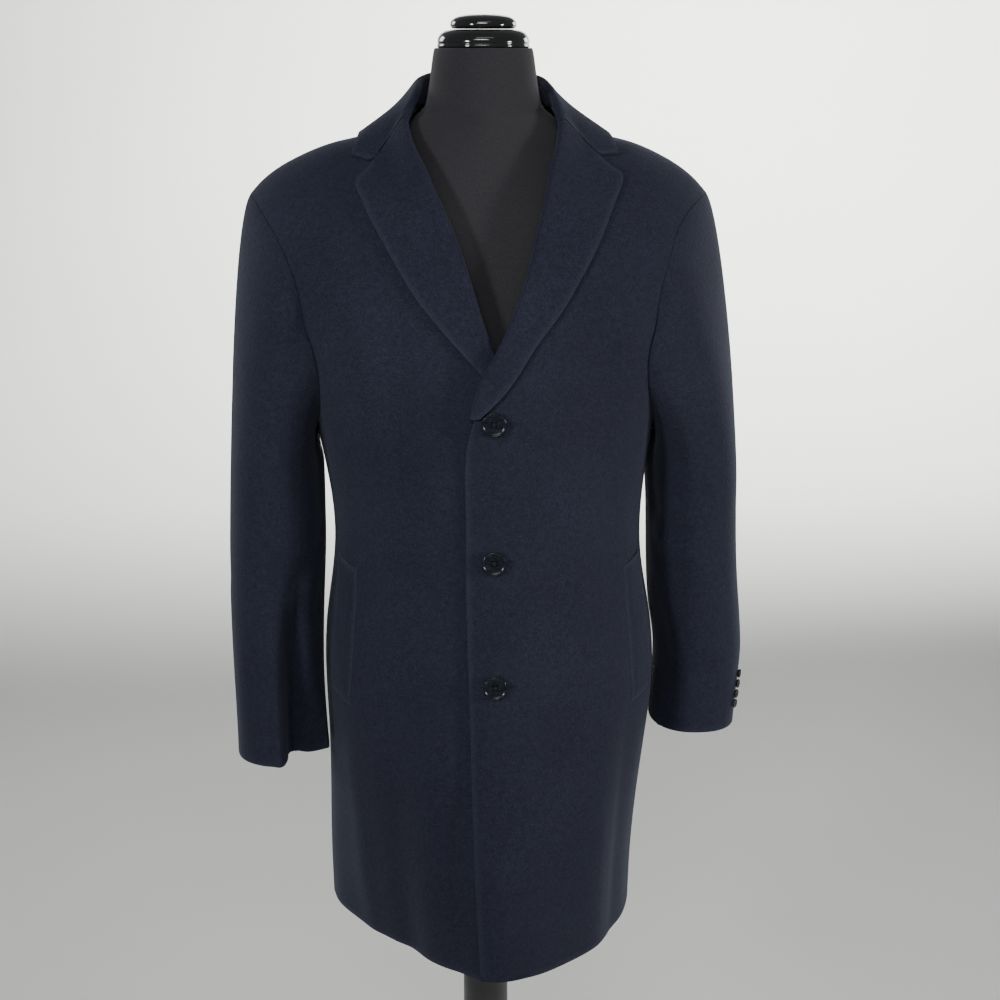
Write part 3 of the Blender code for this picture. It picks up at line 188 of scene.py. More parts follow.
class NodeBench:
    """Lays out the nodes of one material."""

    BLUE_EASE = 0.01  # how much less the blue of a dappled colour swings

    def __init__(self, name: str) -> None:
        """Starts an empty material with a surface shader and its output.

        Args:
            name: The finish's name.
        """
        self.material = bpy.data.materials.new(name)
        self.material.use_nodes = True
        self.tree = self.material.node_tree
        self.tree.nodes.clear()
        output = self.tree.nodes.new("ShaderNodeOutputMaterial")
        self.shader = self.tree.nodes.new("ShaderNodeBsdfPrincipled")
        self.link(self.shader.outputs["BSDF"], output.inputs["Surface"])
        self.place = self.tree.nodes.new("ShaderNodeTexCoord").outputs["Object"]

    def link(self, source: Socket, target: Socket) -> None:
        """Joins two sockets."""
        self.tree.links.new(source, target)

    def stretched(self, scale: tuple[float, float, float], turn: float = 0.0) -> Socket:
        """Places stretched along the axes.

        Args:
            scale: Stretch along X, Y and Z.
            turn: Turn about Y in radians.

        Returns:
            The socket of the stretched places.
        """
        node = self.tree.nodes.new("ShaderNodeMapping")
        node.inputs["Scale"].default_value = scale
        node.inputs["Rotation"].default_value = (0.0, turn, 0.0)
        self.link(self.place, node.inputs["Vector"])
        return node.outputs["Vector"]

    def noise(self, scale: float, detail: float = 2.0, rough: float = 0.5,
              place: Socket | None = None) -> Socket:
        """Soft noise from 0 to 1.

        Args:
            scale: Lumps in a metre.
            detail: Octaves of finer noise.
            rough: Strength of the finer octaves.
            place: Where the noise is read, or None for the plain object place.

        Returns:
            The noise's value socket.
        """
        node = self.tree.nodes.new("ShaderNodeTexNoise")
        node.inputs["Scale"].default_value = scale
        node.inputs["Detail"].default_value = detail
        node.inputs["Roughness"].default_value = rough
        self.link(place or self.place, node.inputs["Vector"])
        return node.outputs["Fac"]

    def ramp(self, value: Socket, stops: tuple) -> Socket:
        """Maps a value to colours.

        Args:
            value: The value socket, from 0 to 1.
            stops: Pairs of place and colour.

        Returns:
            The colour socket.
        """
        node = self.tree.nodes.new("ShaderNodeValToRGB")
        stops = sorted(stops, key=lambda stop: stop[0])
        elements = node.color_ramp.elements
        elements[0].position, elements[0].color = stops[0]
        elements[1].position, elements[1].color = stops[-1]
        for position, colour in stops[1:-1]:
            elements.new(position).color = colour
        self.link(value, node.inputs["Fac"])
        return node.outputs["Color"]

    def mix(self, share: Socket | float, first: object, second: object,
            blend: str = "MIX") -> Socket:
        """Mixes two colours.

        Args:
            share: Share of the second colour, as a socket or a number.
            first: The first colour, as a socket or four numbers.
            second: The second colour, as a socket or four numbers.
            blend: Blender's name for the way of mixing.

        Returns:
            The mixed colour socket.
        """
        node = self.tree.nodes.new("ShaderNodeMix")
        node.data_type = "RGBA"
        node.blend_type = blend
        feed(self.tree, (node.inputs[0], node.inputs[6], node.inputs[7]), (share, first, second))
        return node.outputs[2]

    def maths(self, operation: str, *values: object) -> Socket:
        """One step of arithmetic on sockets or numbers, as its result's socket."""
        return arithmetic(self.tree, operation, *values)

    def dapple(self, colour: Socket, scale: float, rough: float, reach: float, swing: float) -> Socket:
        """Darkens and lightens a colour in soft spots.

        Args:
            colour: The colour socket.
            scale: Spots in a metre.
            rough: Strength of the finer spots.
            reach: How far the noise runs each way from its middle.
            swing: Share by which the spots darken and lighten; the blue swings a little less.

        Returns:
            The dappled colour socket.
        """
        blue = swing - self.BLUE_EASE
        spots = self.ramp(self.noise(scale, rough=rough), (
            (0.5 - reach, rgba(1.0 - swing, 1.0 - swing, 1.0 - blue)),
            (0.5 + reach, rgba(1.0 + swing, 1.0 + swing, 1.0 + blue)),
        ))
        return self.mix(1.0, colour, spots, "MULTIPLY")

    def paint(self, colour: Socket) -> None:
        """Gives the surface its colour."""
        self.link(colour, self.shader.inputs["Base Color"])

    def roughen(self, texture: Socket, swing: float, least: float) -> None:
        """Lets the roughness follow a texture, upwards from its least value."""
        self.link(self.maths("MULTIPLY_ADD", texture, swing, least), self.shader.inputs["Roughness"])

    def attribute(self, name: str) -> Socket:
        """The value of a named attribute of the piece."""
        node = self.tree.nodes.new("ShaderNodeAttribute")
        node.attribute_name = name
        return node.outputs["Fac"]

    def bump(self, height: Socket, distance: float, strength: float) -> None:
        """Roughens the shading with a height.

        Args:
            height: The height's socket, from 0 to 1.
            distance: What a height of 1 stands for, in metres.
            strength: Share of the effect.
        """
        node = self.tree.nodes.new("ShaderNodeBump")
        node.inputs["Distance"].default_value = distance
        node.inputs["Strength"].default_value = strength
        self.link(height, node.inputs["Height"])
        self.link(node.outputs["Normal"], self.shader.inputs["Normal"])

    def set(self, **values: object) -> None:
        """Sets the shader's plain values, with _ for a space in a socket's name."""
        for name, value in values.items():
            self.shader.inputs[name.replace("_", " ")].default_value = value


# ---- finishes -------------------------------------------------------------------------------------


class Finish:
    """What every finish shares: it is made by laying its nodes out on a bench."""

    def make(self, name: str) -> Material:
        """Builds the finish.

        Args:
            name: The material's name.

        Returns:
            The material.
        """
        bench = NodeBench(name)
        self.lay_out(bench)
        return bench.material

    def lay_out(self, bench: NodeBench) -> None:
        """Lays out the nodes, which each finish does in its own way.

        Args:
            bench: Where the nodes are laid out.
        """
        raise NotImplementedError


@dataclass(frozen=True)
class NappedWool(Finish):
    """Felted woollen coating with a short brushed nap, its fibres flecked lighter and darker."""

    shade: Colour = rgba(0.0136, 0.0153, 0.0268)
    dark: float = 0.62
    light: float = 1.50
    light_tint: tuple[float, float, float] = (1.05, 1.0, 0.96)
    painted_edge_highlight_tint: tuple[float, float, float] = (1.9, 1.9, 1.75)  # tint of the painted highlight along a free edge
    painted_edge_highlight_base: float = 0.12
    fleck: float = 620.0  # flecks in a metre
    mottle: float = 190.0
    cloud: float = 11.0
    pebble: float = 330.0
    nap: float = 0.0011
    sheen: float = 0.09
    sheen_tint: Colour = rgba(0.62, 0.68, 0.86)

    def lay_out(self, bench: NodeBench) -> None:
        """Flecks, mottles and clouds the shade, paints a highlight along the free edges and raises the nap.

        Args:
            bench: Where the nodes are laid out.
        """
        flecks = bench.noise(self.fleck, 3.0, 0.62)
        dark, light = toned(self.shade, self.dark), toned(toned(self.shade, self.light), *self.light_tint)
        colour = bench.ramp(flecks, ((0.30, dark), (0.50, self.shade), (0.72, light)))
        colour = bench.dapple(colour, self.mottle, rough=0.55, reach=0.18, swing=0.13)
        colour = bench.dapple(colour, self.cloud, rough=0.5, reach=0.20, swing=0.08)
        # painted highlight: the free edges are lightened, with the flecks, where a rolled edge would catch
        # the light
        edge = bench.attribute("edge")
        painted_edge_highlight = bench.maths("MULTIPLY", edge, bench.maths("ADD", flecks, self.painted_edge_highlight_base))
        bench.paint(bench.mix(painted_edge_highlight, colour, toned(self.shade, *self.painted_edge_highlight_tint)))
        bench.set(Roughness=0.93, Sheen_Weight=self.sheen, Sheen_Roughness=0.42, Sheen_Tint=self.sheen_tint,
                  Specular_IOR_Level=0.14)
        pebbles = bench.maths("MULTIPLY", bench.noise(self.pebble, 3.0, 0.6), 0.75)
        height = bench.maths("ADD", bench.maths("MULTIPLY", flecks, 0.55), pebbles)
        bench.bump(bench.maths("MULTIPLY", height, bench.maths("ADD", 1.0, edge)), self.nap, 0.7)


@dataclass(frozen=True)
class TwillLining(Finish):
    """Smooth dark lining with fine slanting twill lines."""

    shade: Colour = rgba(0.0100, 0.0105, 0.0190)
    line: float = 1400.0
    streak: tuple[float, float, float] = (260.0, 260.0, 8.0)

    def lay_out(self, bench: NodeBench) -> None:
        """Streaks the shade along the threads and raises the twill lines.

        Args:
            bench: Where the nodes are laid out.
        """
        twill = bench.tree.nodes.new("ShaderNodeTexWave")
        twill.bands_direction = "DIAGONAL"
        twill.inputs["Scale"].default_value = self.line / (2.0 * math.pi)
        twill.inputs["Distortion"].default_value = 0.4
        bench.link(bench.place, twill.inputs["Vector"])
        streaks = bench.noise(1.0, place=bench.stretched(self.streak))
        bench.paint(bench.ramp(streaks, ((0.3, toned(self.shade, 0.8)), (0.7, toned(self.shade, 1.3)))))
        bench.set(Roughness=0.42, Sheen_Weight=0.08, Anisotropic=0.35)
        bench.bump(twill.outputs["Fac"], 0.0001, 0.5)


@dataclass(frozen=True)
class PolishedResin(Finish):
    """Dark button resin, faintly clouded like horn."""

    shade: Colour = rgba(0.0042, 0.0054, 0.0088)
    cloud: Colour = rgba(0.0130, 0.0160, 0.0220)
    vein: tuple[float, float, float] = (150.0, 150.0, 420.0)
    vein_turn: float = 0.6
    wipe: float = 900.0
    ripple: float = 520.0

    def lay_out(self, bench: NodeBench) -> None:
        """Veins the shade, wipes the polish unevenly and ripples it.

        Args:
            bench: Where the nodes are laid out.
        """
        veins = bench.noise(1.0, 4.0, 0.6, bench.stretched(self.vein, self.vein_turn))
        bench.paint(bench.ramp(veins, ((0.40, self.shade), (0.74, self.cloud))))
        bench.roughen(bench.noise(self.wipe), 0.10, 0.14)
        bench.set(Specular_IOR_Level=0.32)
        bench.bump(bench.noise(self.ripple), 0.00006, 0.5)


@dataclass(frozen=True)
class SpunThread(Finish):
    """Dark buttonhole thread with a fine twist."""

    shade: Colour = rgba(0.0085, 0.0098, 0.0175)
    light_tint: tuple[float, float, float] = (2.2, 2.2, 2.1)
    twist: float = 4200.0

    def lay_out(self, bench: NodeBench) -> None:
        """Lightens and raises the thread along its twist.

        Args:
            bench: Where the nodes are laid out.
        """
        twist = bench.noise(self.twist, rough=0.6)
        bench.paint(bench.ramp(twist, ((0.35, self.shade), (0.70, toned(self.shade, *self.light_tint)))))
        bench.set(Roughness=0.80, Sheen_Weight=0.05, Specular_IOR_Level=0.15)
        bench.bump(twist, 0.00008, 0.6)


@dataclass(frozen=True)
class KnittedJersey(Finish):
    """Charcoal knitted cover stretched over the form."""

    shade: Colour = rgba(0.0222, 0.0212, 0.0250)
    rib: tuple[float, float, float] = (900.0, 900.0, 405.0)
    fuzz: float = 2400.0

    def lay_out(self, bench: NodeBench) -> None:
        """Shades and raises the loops under a little fuzz.

        Args:
            bench: Where the nodes are laid out.
        """
        loops = bench.noise(1.0, place=bench.stretched(self.rib))
        fuzz = bench.noise(self.fuzz, rough=0.6)
        both = bench.maths("ADD", bench.maths("MULTIPLY", loops, 0.7), bench.maths("MULTIPLY", fuzz, 0.3))
        bench.paint(bench.ramp(both, ((0.32, toned(self.shade, 0.78)), (0.68, toned(self.shade, 1.25)))))
        bench.set(Roughness=0.88, Sheen_Weight=0.10, Sheen_Roughness=0.5, Specular_IOR_Level=0.2)
        bench.bump(both, 0.0003, 0.5)


@dataclass(frozen=True)
class BlackLacquer(Finish):
    """Turned wood under glossy black lacquer."""

    shade: Colour = rgba(0.0050, 0.0050, 0.0052)
    light: Colour = rgba(0.009, 0.009, 0.009)
    grain: tuple[float, float, float] = (60.0, 60.0, 500.0)
    haze: float = 130.0
    ripple: float = 70.0

    def lay_out(self, bench: NodeBench) -> None:
        """Lets a faint grain through the lacquer, with a little haze and ripple.

        Args:
            bench: Where the nodes are laid out.
        """
        grain = bench.noise(1.0, 3.0, place=bench.stretched(self.grain))
        bench.paint(bench.ramp(grain, ((0.3, self.shade), (0.8, self.light))))
        bench.roughen(bench.noise(self.haze, 3.0, 0.6), 0.08, 0.06)
        bench.set(IOR=1.5, Coat_Weight=0.35, Coat_Roughness=0.05)
        bench.bump(bench.noise(self.ripple), 0.00012, 0.35)


@dataclass(frozen=True)
class PowderCoat(Finish):
    """Steel under a black powder coat with a fine orange peel."""

    shade: Colour = rgba(0.0100, 0.0100, 0.0110)
    light: Colour = rgba(0.016, 0.016, 0.017)
    peel: float = 650.0
    haze: float = 40.0

    def lay_out(self, bench: NodeBench) -> None:
        """Raises the orange peel and lightens its tops.

        Args:
            bench: Where the nodes are laid out.
        """
        peel = bench.noise(self.peel)
        bench.paint(bench.ramp(peel, ((0.3, self.shade), (0.75, self.light))))
        bench.roughen(bench.noise(self.haze, 3.0, 0.6), 0.14, 0.36)
        bench.bump(peel, 0.00012, 0.6)


@dataclass(frozen=True)
class PaleGround(Finish):
    """Matt pale ground, faintly clouded."""

    shade: Colour = rgba(0.72, 0.73, 0.70)
    cloud: float = 1.4

    def lay_out(self, bench: NodeBench) -> None:
        """Clouds the shade.

        Args:
            bench: Where the nodes are laid out.
        """
        clouds = bench.noise(self.cloud, 3.0)
        bench.paint(bench.ramp(clouds, ((0.3, toned(self.shade, 0.97)), (0.7, self.shade))))
        bench.set(Roughness=0.9)


def made(finish: type[Finish], name: str) -> Material:
    """A field that holds a finish's material, made when the wardrobe is filled."""
    return field(default_factory=lambda: finish().make(name))


@dataclass
class Wardrobe:
    """Every finish, made once."""

    wool: Material = made(NappedWool, "napped_wool")
    lining: Material = made(TwillLining, "twill_lining")
    resin: Material = made(PolishedResin, "polished_resin")
    thread: Material = made(SpunThread, "spun_thread")
    jersey: Material = made(KnittedJersey, "knitted_jersey")
    lacquer: Material = made(BlackLacquer, "black_lacquer")
    steel: Material = made(PowderCoat, "powder_coat")
    ground: Material = made(PaleGround, "pale_ground")


# ---- mesh helpers ---------------------------------------------------------------------------------


def placed_object(name: str, mesh: Mesh) -> Item:
    """Puts a mesh in the scene as an object at the origin.

    Args:
        name: The object's name.
        mesh: Its mesh.

    Returns:
        The object.
    """
    item = bpy.data.objects.new(name, mesh)
    bpy.context.scene.collection.objects.link(item)
    return item


def points_of(mesh: Mesh) -> np.ndarray:
    """The mesh's corners as rows of x, y and z."""
    flat = np.empty(len(mesh.vertices) * 3, dtype=np.float32)
    mesh.vertices.foreach_get("co", flat)
    return flat.reshape(-1, 3).astype(np.float64)


def set_points(mesh: Mesh, points: np.ndarray) -> None:
    """Moves the mesh's corners."""
    mesh.vertices.foreach_set("co", points.astype(np.float32).ravel())
    mesh.update()


def settled(item: Item) -> Item:
    """Turns an object's modifiers into plain mesh.

    Args:
        item: The object, with live modifiers.

    Returns:
        The same object, with none.
    """
    graph = bpy.context.evaluated_depsgraph_get()
    graph.update()
    mesh = bpy.data.meshes.new_from_object(item.evaluated_get(graph), depsgraph=graph)
    old = item.data
    item.modifiers.clear()
    item.data = mesh
    mesh.name = item.name
    bpy.data.meshes.remove(old)
    return item


@contextmanager
def face_work(mesh: Mesh, source: Mesh | None = None) -> Iterator[bmesh.types.BMesh]:
    """Opens a mesh for work on its faces, and writes it back when the work is done.

    Args:
        mesh: The mesh that is written.
        source: The mesh that the work starts from, or None for the same one.

    Yields:
        The open mesh.
    """
    work = bmesh.new()
    work.from_mesh(source or mesh)
    yield work
    work.to_mesh(mesh)
    work.free()


def surface_tree(mesh: Mesh) -> BVHTree:
    """A search tree of a mesh's faces."""
    return BVHTree.FromPolygons([tuple(vertex.co) for vertex in mesh.vertices],
                                [tuple(face.vertices) for face in mesh.polygons])


def quad_copy(node: Item, name: str) -> Item:
    """Copies a solid with its loose triangles merged and paired into quads.

    Args:
        node: The solid.
        name: The copy's name.

    Returns:
        The copy, as an object.
    """
    mesh = bpy.data.meshes.new(name)
    with face_work(mesh, node.data) as work:
        bmesh.ops.remove_doubles(work, verts=work.verts, dist=MERGE)
        bmesh.ops.join_triangles(work, faces=work.faces, angle_face_threshold=FLAT_TURN,
                                 angle_shape_threshold=math.pi, topology_influence=1.0)
    return placed_object(name, mesh)


def sides_of(work: bmesh.types.BMesh, side_turn: float) -> list[list[bmesh.types.BMFace]]:
    """Parts a closed wall into its sides and edges.

    Args:
        work: The open wall.
        side_turn: Sharper turns than this part one side from the next.

    Returns:
        The faces of each side, from the largest side to the smallest.
    """
    seen: set[bmesh.types.BMFace] = set()
    sides = []
    for start in work.faces:
        if start in seen:
            continue
        seen.add(start)
        side, waiting = [], [start]
        while waiting:
            face = waiting.pop()
            side.append(face)
            for edge in face.edges:
                if len(edge.link_faces) != 2 or edge.calc_face_angle(0.0) > side_turn:
                    continue
                fresh = [other for other in edge.link_faces if other not in seen]
                seen.update(fresh)
                waiting.extend(fresh)
        sides.append(side)
    sides.sort(key=lambda side: -sum(face.calc_area() for face in side))
    return sides


def facing(side: list[bmesh.types.BMFace], core: Core) -> float:
    """How much of a side looks away from its core.

    Args:
        side: The side's faces.
        core: What the wall faces away from.

    Returns:
        The side's area, less where it looks towards the core.
    """
    middle = Vector((core.value[0], core.value[1], 0.0))
    total = 0.0
    for face in side:
        away = face.calc_center_median() - middle
        away.z = 0.0
        total += face.normal.dot(away.normalized()) * face.calc_area()
    return total


def keep_outer_side(item: Item, core: Core, side_turn: float, sliver: float) -> None:
    """Leaves only the side of a closed wall that faces away from its core.

    Args:
        item: The wall, in quads.
        core: What it faces away from.
        side_turn: Sharper turns than this part the outer side from the wall's edge.
        sliver: Corners nearer than this are merged.
    """
    with face_work(item.data) as work:
        outer = set(max(sides_of(work, side_turn)[:2], key=lambda side: facing(side, core)))
        bmesh.ops.delete(work, geom=[face for face in work.faces if face not in outer], context="FACES")
        bmesh.ops.remove_doubles(work, verts=work.verts, dist=sliver)


def round_through(item: Item, levels: int) -> None:
    """Subdivides a surface so that the rounded one runs through the corners it started from.

    Args:
        item: The surface.
        levels: How many times each quad is split.
    """
    goal = points_of(item.data)
    rounding = item.modifiers.new("rounding", "SUBSURF")
    rounding.levels = rounding.render_levels = 1
    rounding.use_limit_surface = True
    rounding.boundary_smooth = "PRESERVE_CORNERS"
    cage = goal.copy()
    graph = bpy.context.evaluated_depsgraph_get()
    for _ in range(FIT_ROUNDS):
        graph.update()
        result = points_of(item.evaluated_get(graph).data)[: len(goal)]
        cage += goal - result
        set_points(item.data, cage)
    rounding.levels = rounding.render_levels = levels
    settled(item)


def turned_mesh(name: str, profile: Profile, steps: int) -> Mesh:
    """Turns a profile about Z.

    Args:
        name: The mesh's name.
        profile: Radius and height pairs, from the axis at the foot to the axis at the top.
        steps: Faces round the axis.

    Returns:
        The closed mesh.
    """
    mesh = bpy.data.meshes.new(name)
    with face_work(mesh) as work:
        foot = work.verts.new((0.0, 0.0, profile[0][1]))
        top = work.verts.new((0.0, 0.0, profile[-1][1]))
        rings = []
        for radius, height in profile[1:-1]:
            ring = []
            for step in range(steps):
                turn = 2.0 * math.pi * step / steps
                ring.append(work.verts.new((radius * math.cos(turn), radius * math.sin(turn), height)))
            rings.append(ring)
        for step in range(steps):
            after = (step + 1) % steps
            work.faces.new((foot, rings[0][after], rings[0][step]))
            work.faces.new((top, rings[-1][step], rings[-1][after]))
            for low, high in zip(rings, rings[1:]):
                work.faces.new((low[step], low[after], high[after], high[step]))
        for face in work.faces:
            face.smooth = True
    return mesh


def softened(corners: Profile, radius: float, steps: int = 5) -> Profile:
    """Rounds the inner corners of a profile.

    Args:
        corners: The profile's corners.
        radius: How far from each corner its rounding starts.
        steps: Points on each rounding.

    Returns:
        The rounded profile.
    """
    points = [Vector(corner) for corner in corners]
    result = [tuple(points[0])]
    for before, corner, after in zip(points, points[1:], points[2:]):
        reach_in = min(radius, (before - corner).length * CORNER_SHARE)
        reach_out = min(radius, (after - corner).length * CORNER_SHARE)
        start = corner + (before - corner).normalized() * reach_in
        end = corner + (after - corner).normalized() * reach_out
        for step in range(steps):
            share = step / (steps - 1)
            point = start * (1 - share) ** 2 + corner * 2 * share * (1 - share) + end * share**2
            result.append(tuple(point))
    result.append(tuple(points[-1]))
    return result


def dress(item: Item, slot: str, *nodes: str) -> None:
    """Attaches a finished piece to the root body, hides the solids it stands for and reports it.

    Args:
        item: The piece.
        slot: Not used.
        nodes: The solids that it stands for.
    """
    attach(item, ROOT_BODY)
    if nodes:
        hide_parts(*nodes)
    LOG.info("%s: %d faces", item.name, len(item.data.polygons))


def coat(item: Item, *finishes: Material) -> None:
    """Gives a piece its finishes in place of any other."""
    item.data.materials.clear()
    for finish in finishes:
        item.data.materials.append(finish)


def dress_hard(item: Item, finish: Material, sharp: float, slot: str, node: str) -> None:
    """Args:
        item: The piece.
        finish: Its finish.
        sharp: Edges that turn more than this stay sharp.
        slot: The finish's place in the record.
        node: The solid that it stands for.
    """
    coat(item, finish)
    item.data.shade_smooth()
    item.data.set_sharp_from_angle(angle=sharp)
    dress(item, slot, node)


# ---- creases --------------------------------------------------------------------------------------


@dataclass(frozen=True)
class Crease:
    """A soft trough or ridge that hanging cloth takes, along a path on the unrolled body or sleeve.

    The path's points are the distance round from the front middle, positive to the wearer's left, and the
    height. A positive rise is a ridge, the lean makes one of its sides wider, and the fade is the share of
    the path over which each end runs out.
    """

    path: tuple[tuple[float, float], ...]
    width: float
    rise: float
    lean: float = 0.0
    fade: float = 0.30

    def field(self, places: np.ndarray, girth: float) -> np.ndarray:
        """How far the crease moves each place outwards.

        Args:
            places: Rows of distance round and height.
            girth: The whole way round, at which the distance starts again.

        Returns:
            The outward moves.
        """
        path = np.array(self.path)
        middle = path[:, 0].mean()
        spots = places.copy()
        spots[:, 0] = (spots[:, 0] - middle + girth / 2.0) % girth - girth / 2.0 + middle
        lengths = np.linalg.norm(np.diff(path, axis=0), axis=1)
        starts = np.concatenate(([0.0], np.cumsum(lengths)))
        nearest = np.full(len(spots), np.inf)
        share = np.zeros(len(spots))
        side = np.zeros(len(spots))
        for index, length in enumerate(lengths):
            along = (path[index + 1] - path[index]) / length
            offset = spots - path[index]
            reach = np.clip(offset @ along, 0.0, length)
            gap = offset - reach[:, None] * along
            distance = np.linalg.norm(gap, axis=1)
            closer = distance < nearest
            nearest[closer] = distance[closer]
            share[closer] = ((starts[index] + reach) / starts[-1])[closer]
            turned = along[0] * gap[:, 1] - along[1] * gap[:, 0]
            side[closer] = np.sign(turned)[closer]
        width = self.width * (1.0 + self.lean * side)
        ends = np.clip(np.minimum(share, 1.0 - share) / self.fade, 0.0, 1.0)
        ends = ends * ends * (3.0 - 2.0 * ends)
        return self.rise * np.exp(-((nearest / width) ** 2)) * ends


# Each row: the path, the width and the rise, then the lean and the fade where they aren't the usual ones.

# Round the body: the chest below the armholes, the waist, the skirt's flutes, and the back's own folds.
BODY_CREASES = (
    Crease(((-0.118, 1.330), (-0.126, 1.230), (-0.122, 1.120), (-0.110, 1.040)), 0.020, -0.0034, 0.25),
    Crease(((-0.150, 1.300), (-0.156, 1.210), (-0.160, 1.120)), 0.014, 0.0022),
    Crease(((0.128, 1.310), (0.134, 1.220), (0.138, 1.130), (0.136, 1.060)), 0.018, -0.0028, -0.2),
    Crease(((0.158, 1.290), (0.164, 1.200), (0.170, 1.120)), 0.014, 0.0018),
    Crease(((-0.060, 1.130), (-0.090, 1.060), (-0.130, 1.010)), 0.022, 0.0016),
    Crease(((0.040, 1.120), (0.085, 1.055), (0.130, 1.010)), 0.022, 0.0014),
    Crease(((-0.150, 0.985), (-0.132, 0.860), (-0.128, 0.700), (-0.122, 0.400)), 0.026, -0.0040, 0.2, 0.35),
    Crease(((-0.080, 0.860), (-0.078, 0.720), (-0.084, 0.400)), 0.028, 0.0026, 0.0, 0.40),
    Crease(((-0.034, 0.980), (-0.036, 0.820), (-0.040, 0.640), (-0.042, 0.400)), 0.015, -0.0030, 0.0, 0.35),
    Crease(((0.060, 0.900), (0.068, 0.740), (0.070, 0.400)), 0.030, -0.0026, 0.0, 0.40),
    Crease(((0.124, 0.940), (0.134, 0.780), (0.140, 0.400)), 0.024, 0.0026, -0.2, 0.40),
    Crease(((0.176, 0.930), (0.184, 0.760), (0.188, 0.400)), 0.022, -0.0030, 0.2, 0.40),
    Crease(((-0.196, 0.930), (-0.204, 0.760), (-0.206, 0.400)), 0.024, 0.0026, 0.0, 0.40),
    Crease(((0.470, 1.320), (0.480, 1.220), (0.500, 1.110), (0.500, 1.040)), 0.022, -0.0034, 0.2),
    Crease(((-0.480, 1.330), (-0.486, 1.230), (-0.505, 1.120), (-0.510, 1.030)), 0.024, -0.0032, -0.2),
    Crease(((0.420, 1.270), (0.412, 1.180), (0.400, 1.110)), 0.016, 0.0026),
    Crease(((-0.425, 1.280), (-0.414, 1.190), (-0.405, 1.120)), 0.017, 0.0024),
    Crease(((0.560, 1.060), (0.520, 1.020), (0.450, 1.000)), 0.018, -0.0016),
    Crease(((-0.570, 1.050), (-0.520, 1.015), (-0.460, 1.005)), 0.018, -0.0014),
    Crease(((0.535, 0.900), (0.530, 0.740), (0.526, 0.400)), 0.026, -0.0034, 0.2, 0.40),
    Crease(((0.470, 0.920), (0.462, 0.760), (0.460, 0.400)), 0.026, 0.0030, 0.0, 0.40),
    Crease(((-0.545, 0.910), (-0.536, 0.750), (-0.530, 0.400)), 0.028, -0.0032, 0.0, 0.40),
    Crease(((-0.478, 0.900), (-0.470, 0.740), (-0.462, 0.400)), 0.024, 0.0028, 0.0, 0.40),
    Crease(((0.390, 0.900), (0.384, 0.740), (0.380, 0.400)), 0.022, -0.0024, 0.0, 0.40),
    Crease(((-0.396, 0.890), (-0.390, 0.730), (-0.388, 0.400)), 0.022, -0.0022, 0.0, 0.40),
)

# Round the wearer's left sleeve: the head, the inner bend at the elbow and the forearm.
LEFT_ARM_CREASES = (
    Crease(((-0.062, 1.260), (-0.060, 1.180), (-0.064, 1.080), (-0.062, 0.980)), 0.012, -0.0030, 0.2),
    Crease(((-0.030, 1.290), (-0.020, 1.220), (-0.012, 1.140)), 0.013, 0.0018),
    Crease(((-0.072, 1.060), (-0.040, 1.020), (-0.006, 1.004)), 0.013, -0.0024, 0.2),
    Crease(((-0.070, 1.000), (-0.034, 0.976), (0.004, 0.968)), 0.012, -0.0020),
    Crease(((-0.060, 1.032), (-0.026, 1.000), (0.010, 0.990)), 0.010, 0.0016),
    Crease(((-0.050, 0.940), (-0.044, 0.870), (-0.036, 0.800)), 0.014, -0.0022, 0.0, 0.40),
    Crease(((0.020, 0.930), (0.026, 0.860), (0.030, 0.790)), 0.016, 0.0014, 0.0, 0.40),
    Crease(((0.100, 1.220), (0.104, 1.130), (0.110, 1.040)), 0.014, -0.0026),
    Crease(((0.120, 1.060), (0.090, 1.010), (0.060, 0.990)), 0.013, -0.0016),
    Crease(((0.140, 0.960), (0.136, 0.880), (0.130, 0.810)), 0.014, -0.0018, 0.0, 0.40),
)

# Round the wearer's right sleeve, less bent: its folds lie a little lower and steeper.
RIGHT_ARM_CREASES = (
    Crease(((0.060, 1.270), (0.058, 1.190), (0.062, 1.090), (0.064, 0.990)), 0.012, -0.0032, -0.2),
    Crease(((0.028, 1.280), (0.018, 1.210), (0.010, 1.130)), 0.013, 0.0018),
    Crease(((0.070, 1.040), (0.038, 0.990), (0.004, 0.960)), 0.013, -0.0024),
    Crease(((0.072, 0.970), (0.040, 0.930), (0.010, 0.906)), 0.013, -0.0020),
    Crease(((0.064, 1.008), (0.030, 0.962), (-0.002, 0.936)), 0.010, 0.0016),
    Crease(((0.0225, 1.010), (0.0195, 0.940), (0.0170, 0.860), (0.0160, 0.640)), 0.0085, -0.0085, 0.0, 0.30),
    Crease(((0.0000, 0.990), (-0.002, 0.900), (-0.003, 0.640)), 0.0100, 0.0022, 0.0, 0.30),
    Crease(((-0.024, 0.940), (-0.028, 0.860), (-0.030, 0.780)), 0.016, 0.0014, 0.0, 0.40),
    Crease(((-0.100, 1.220), (-0.106, 1.130), (-0.112, 1.040)), 0.014, -0.0024),
    Crease(((-0.124, 1.040), (-0.094, 0.980), (-0.060, 0.956)), 0.013, -0.0016),
    Crease(((-0.140, 0.940), (-0.136, 0.870), (-0.130, 0.800)), 0.014, -0.0018, 0.0, 0.40),
)

CREASES = {Core.BODY: BODY_CREASES, Core.LEFT_ARM: LEFT_ARM_CREASES, Core.RIGHT_ARM: RIGHT_ARM_CREASES}


# ---- cut pieces of cloth --------------------------------------------------------------------------


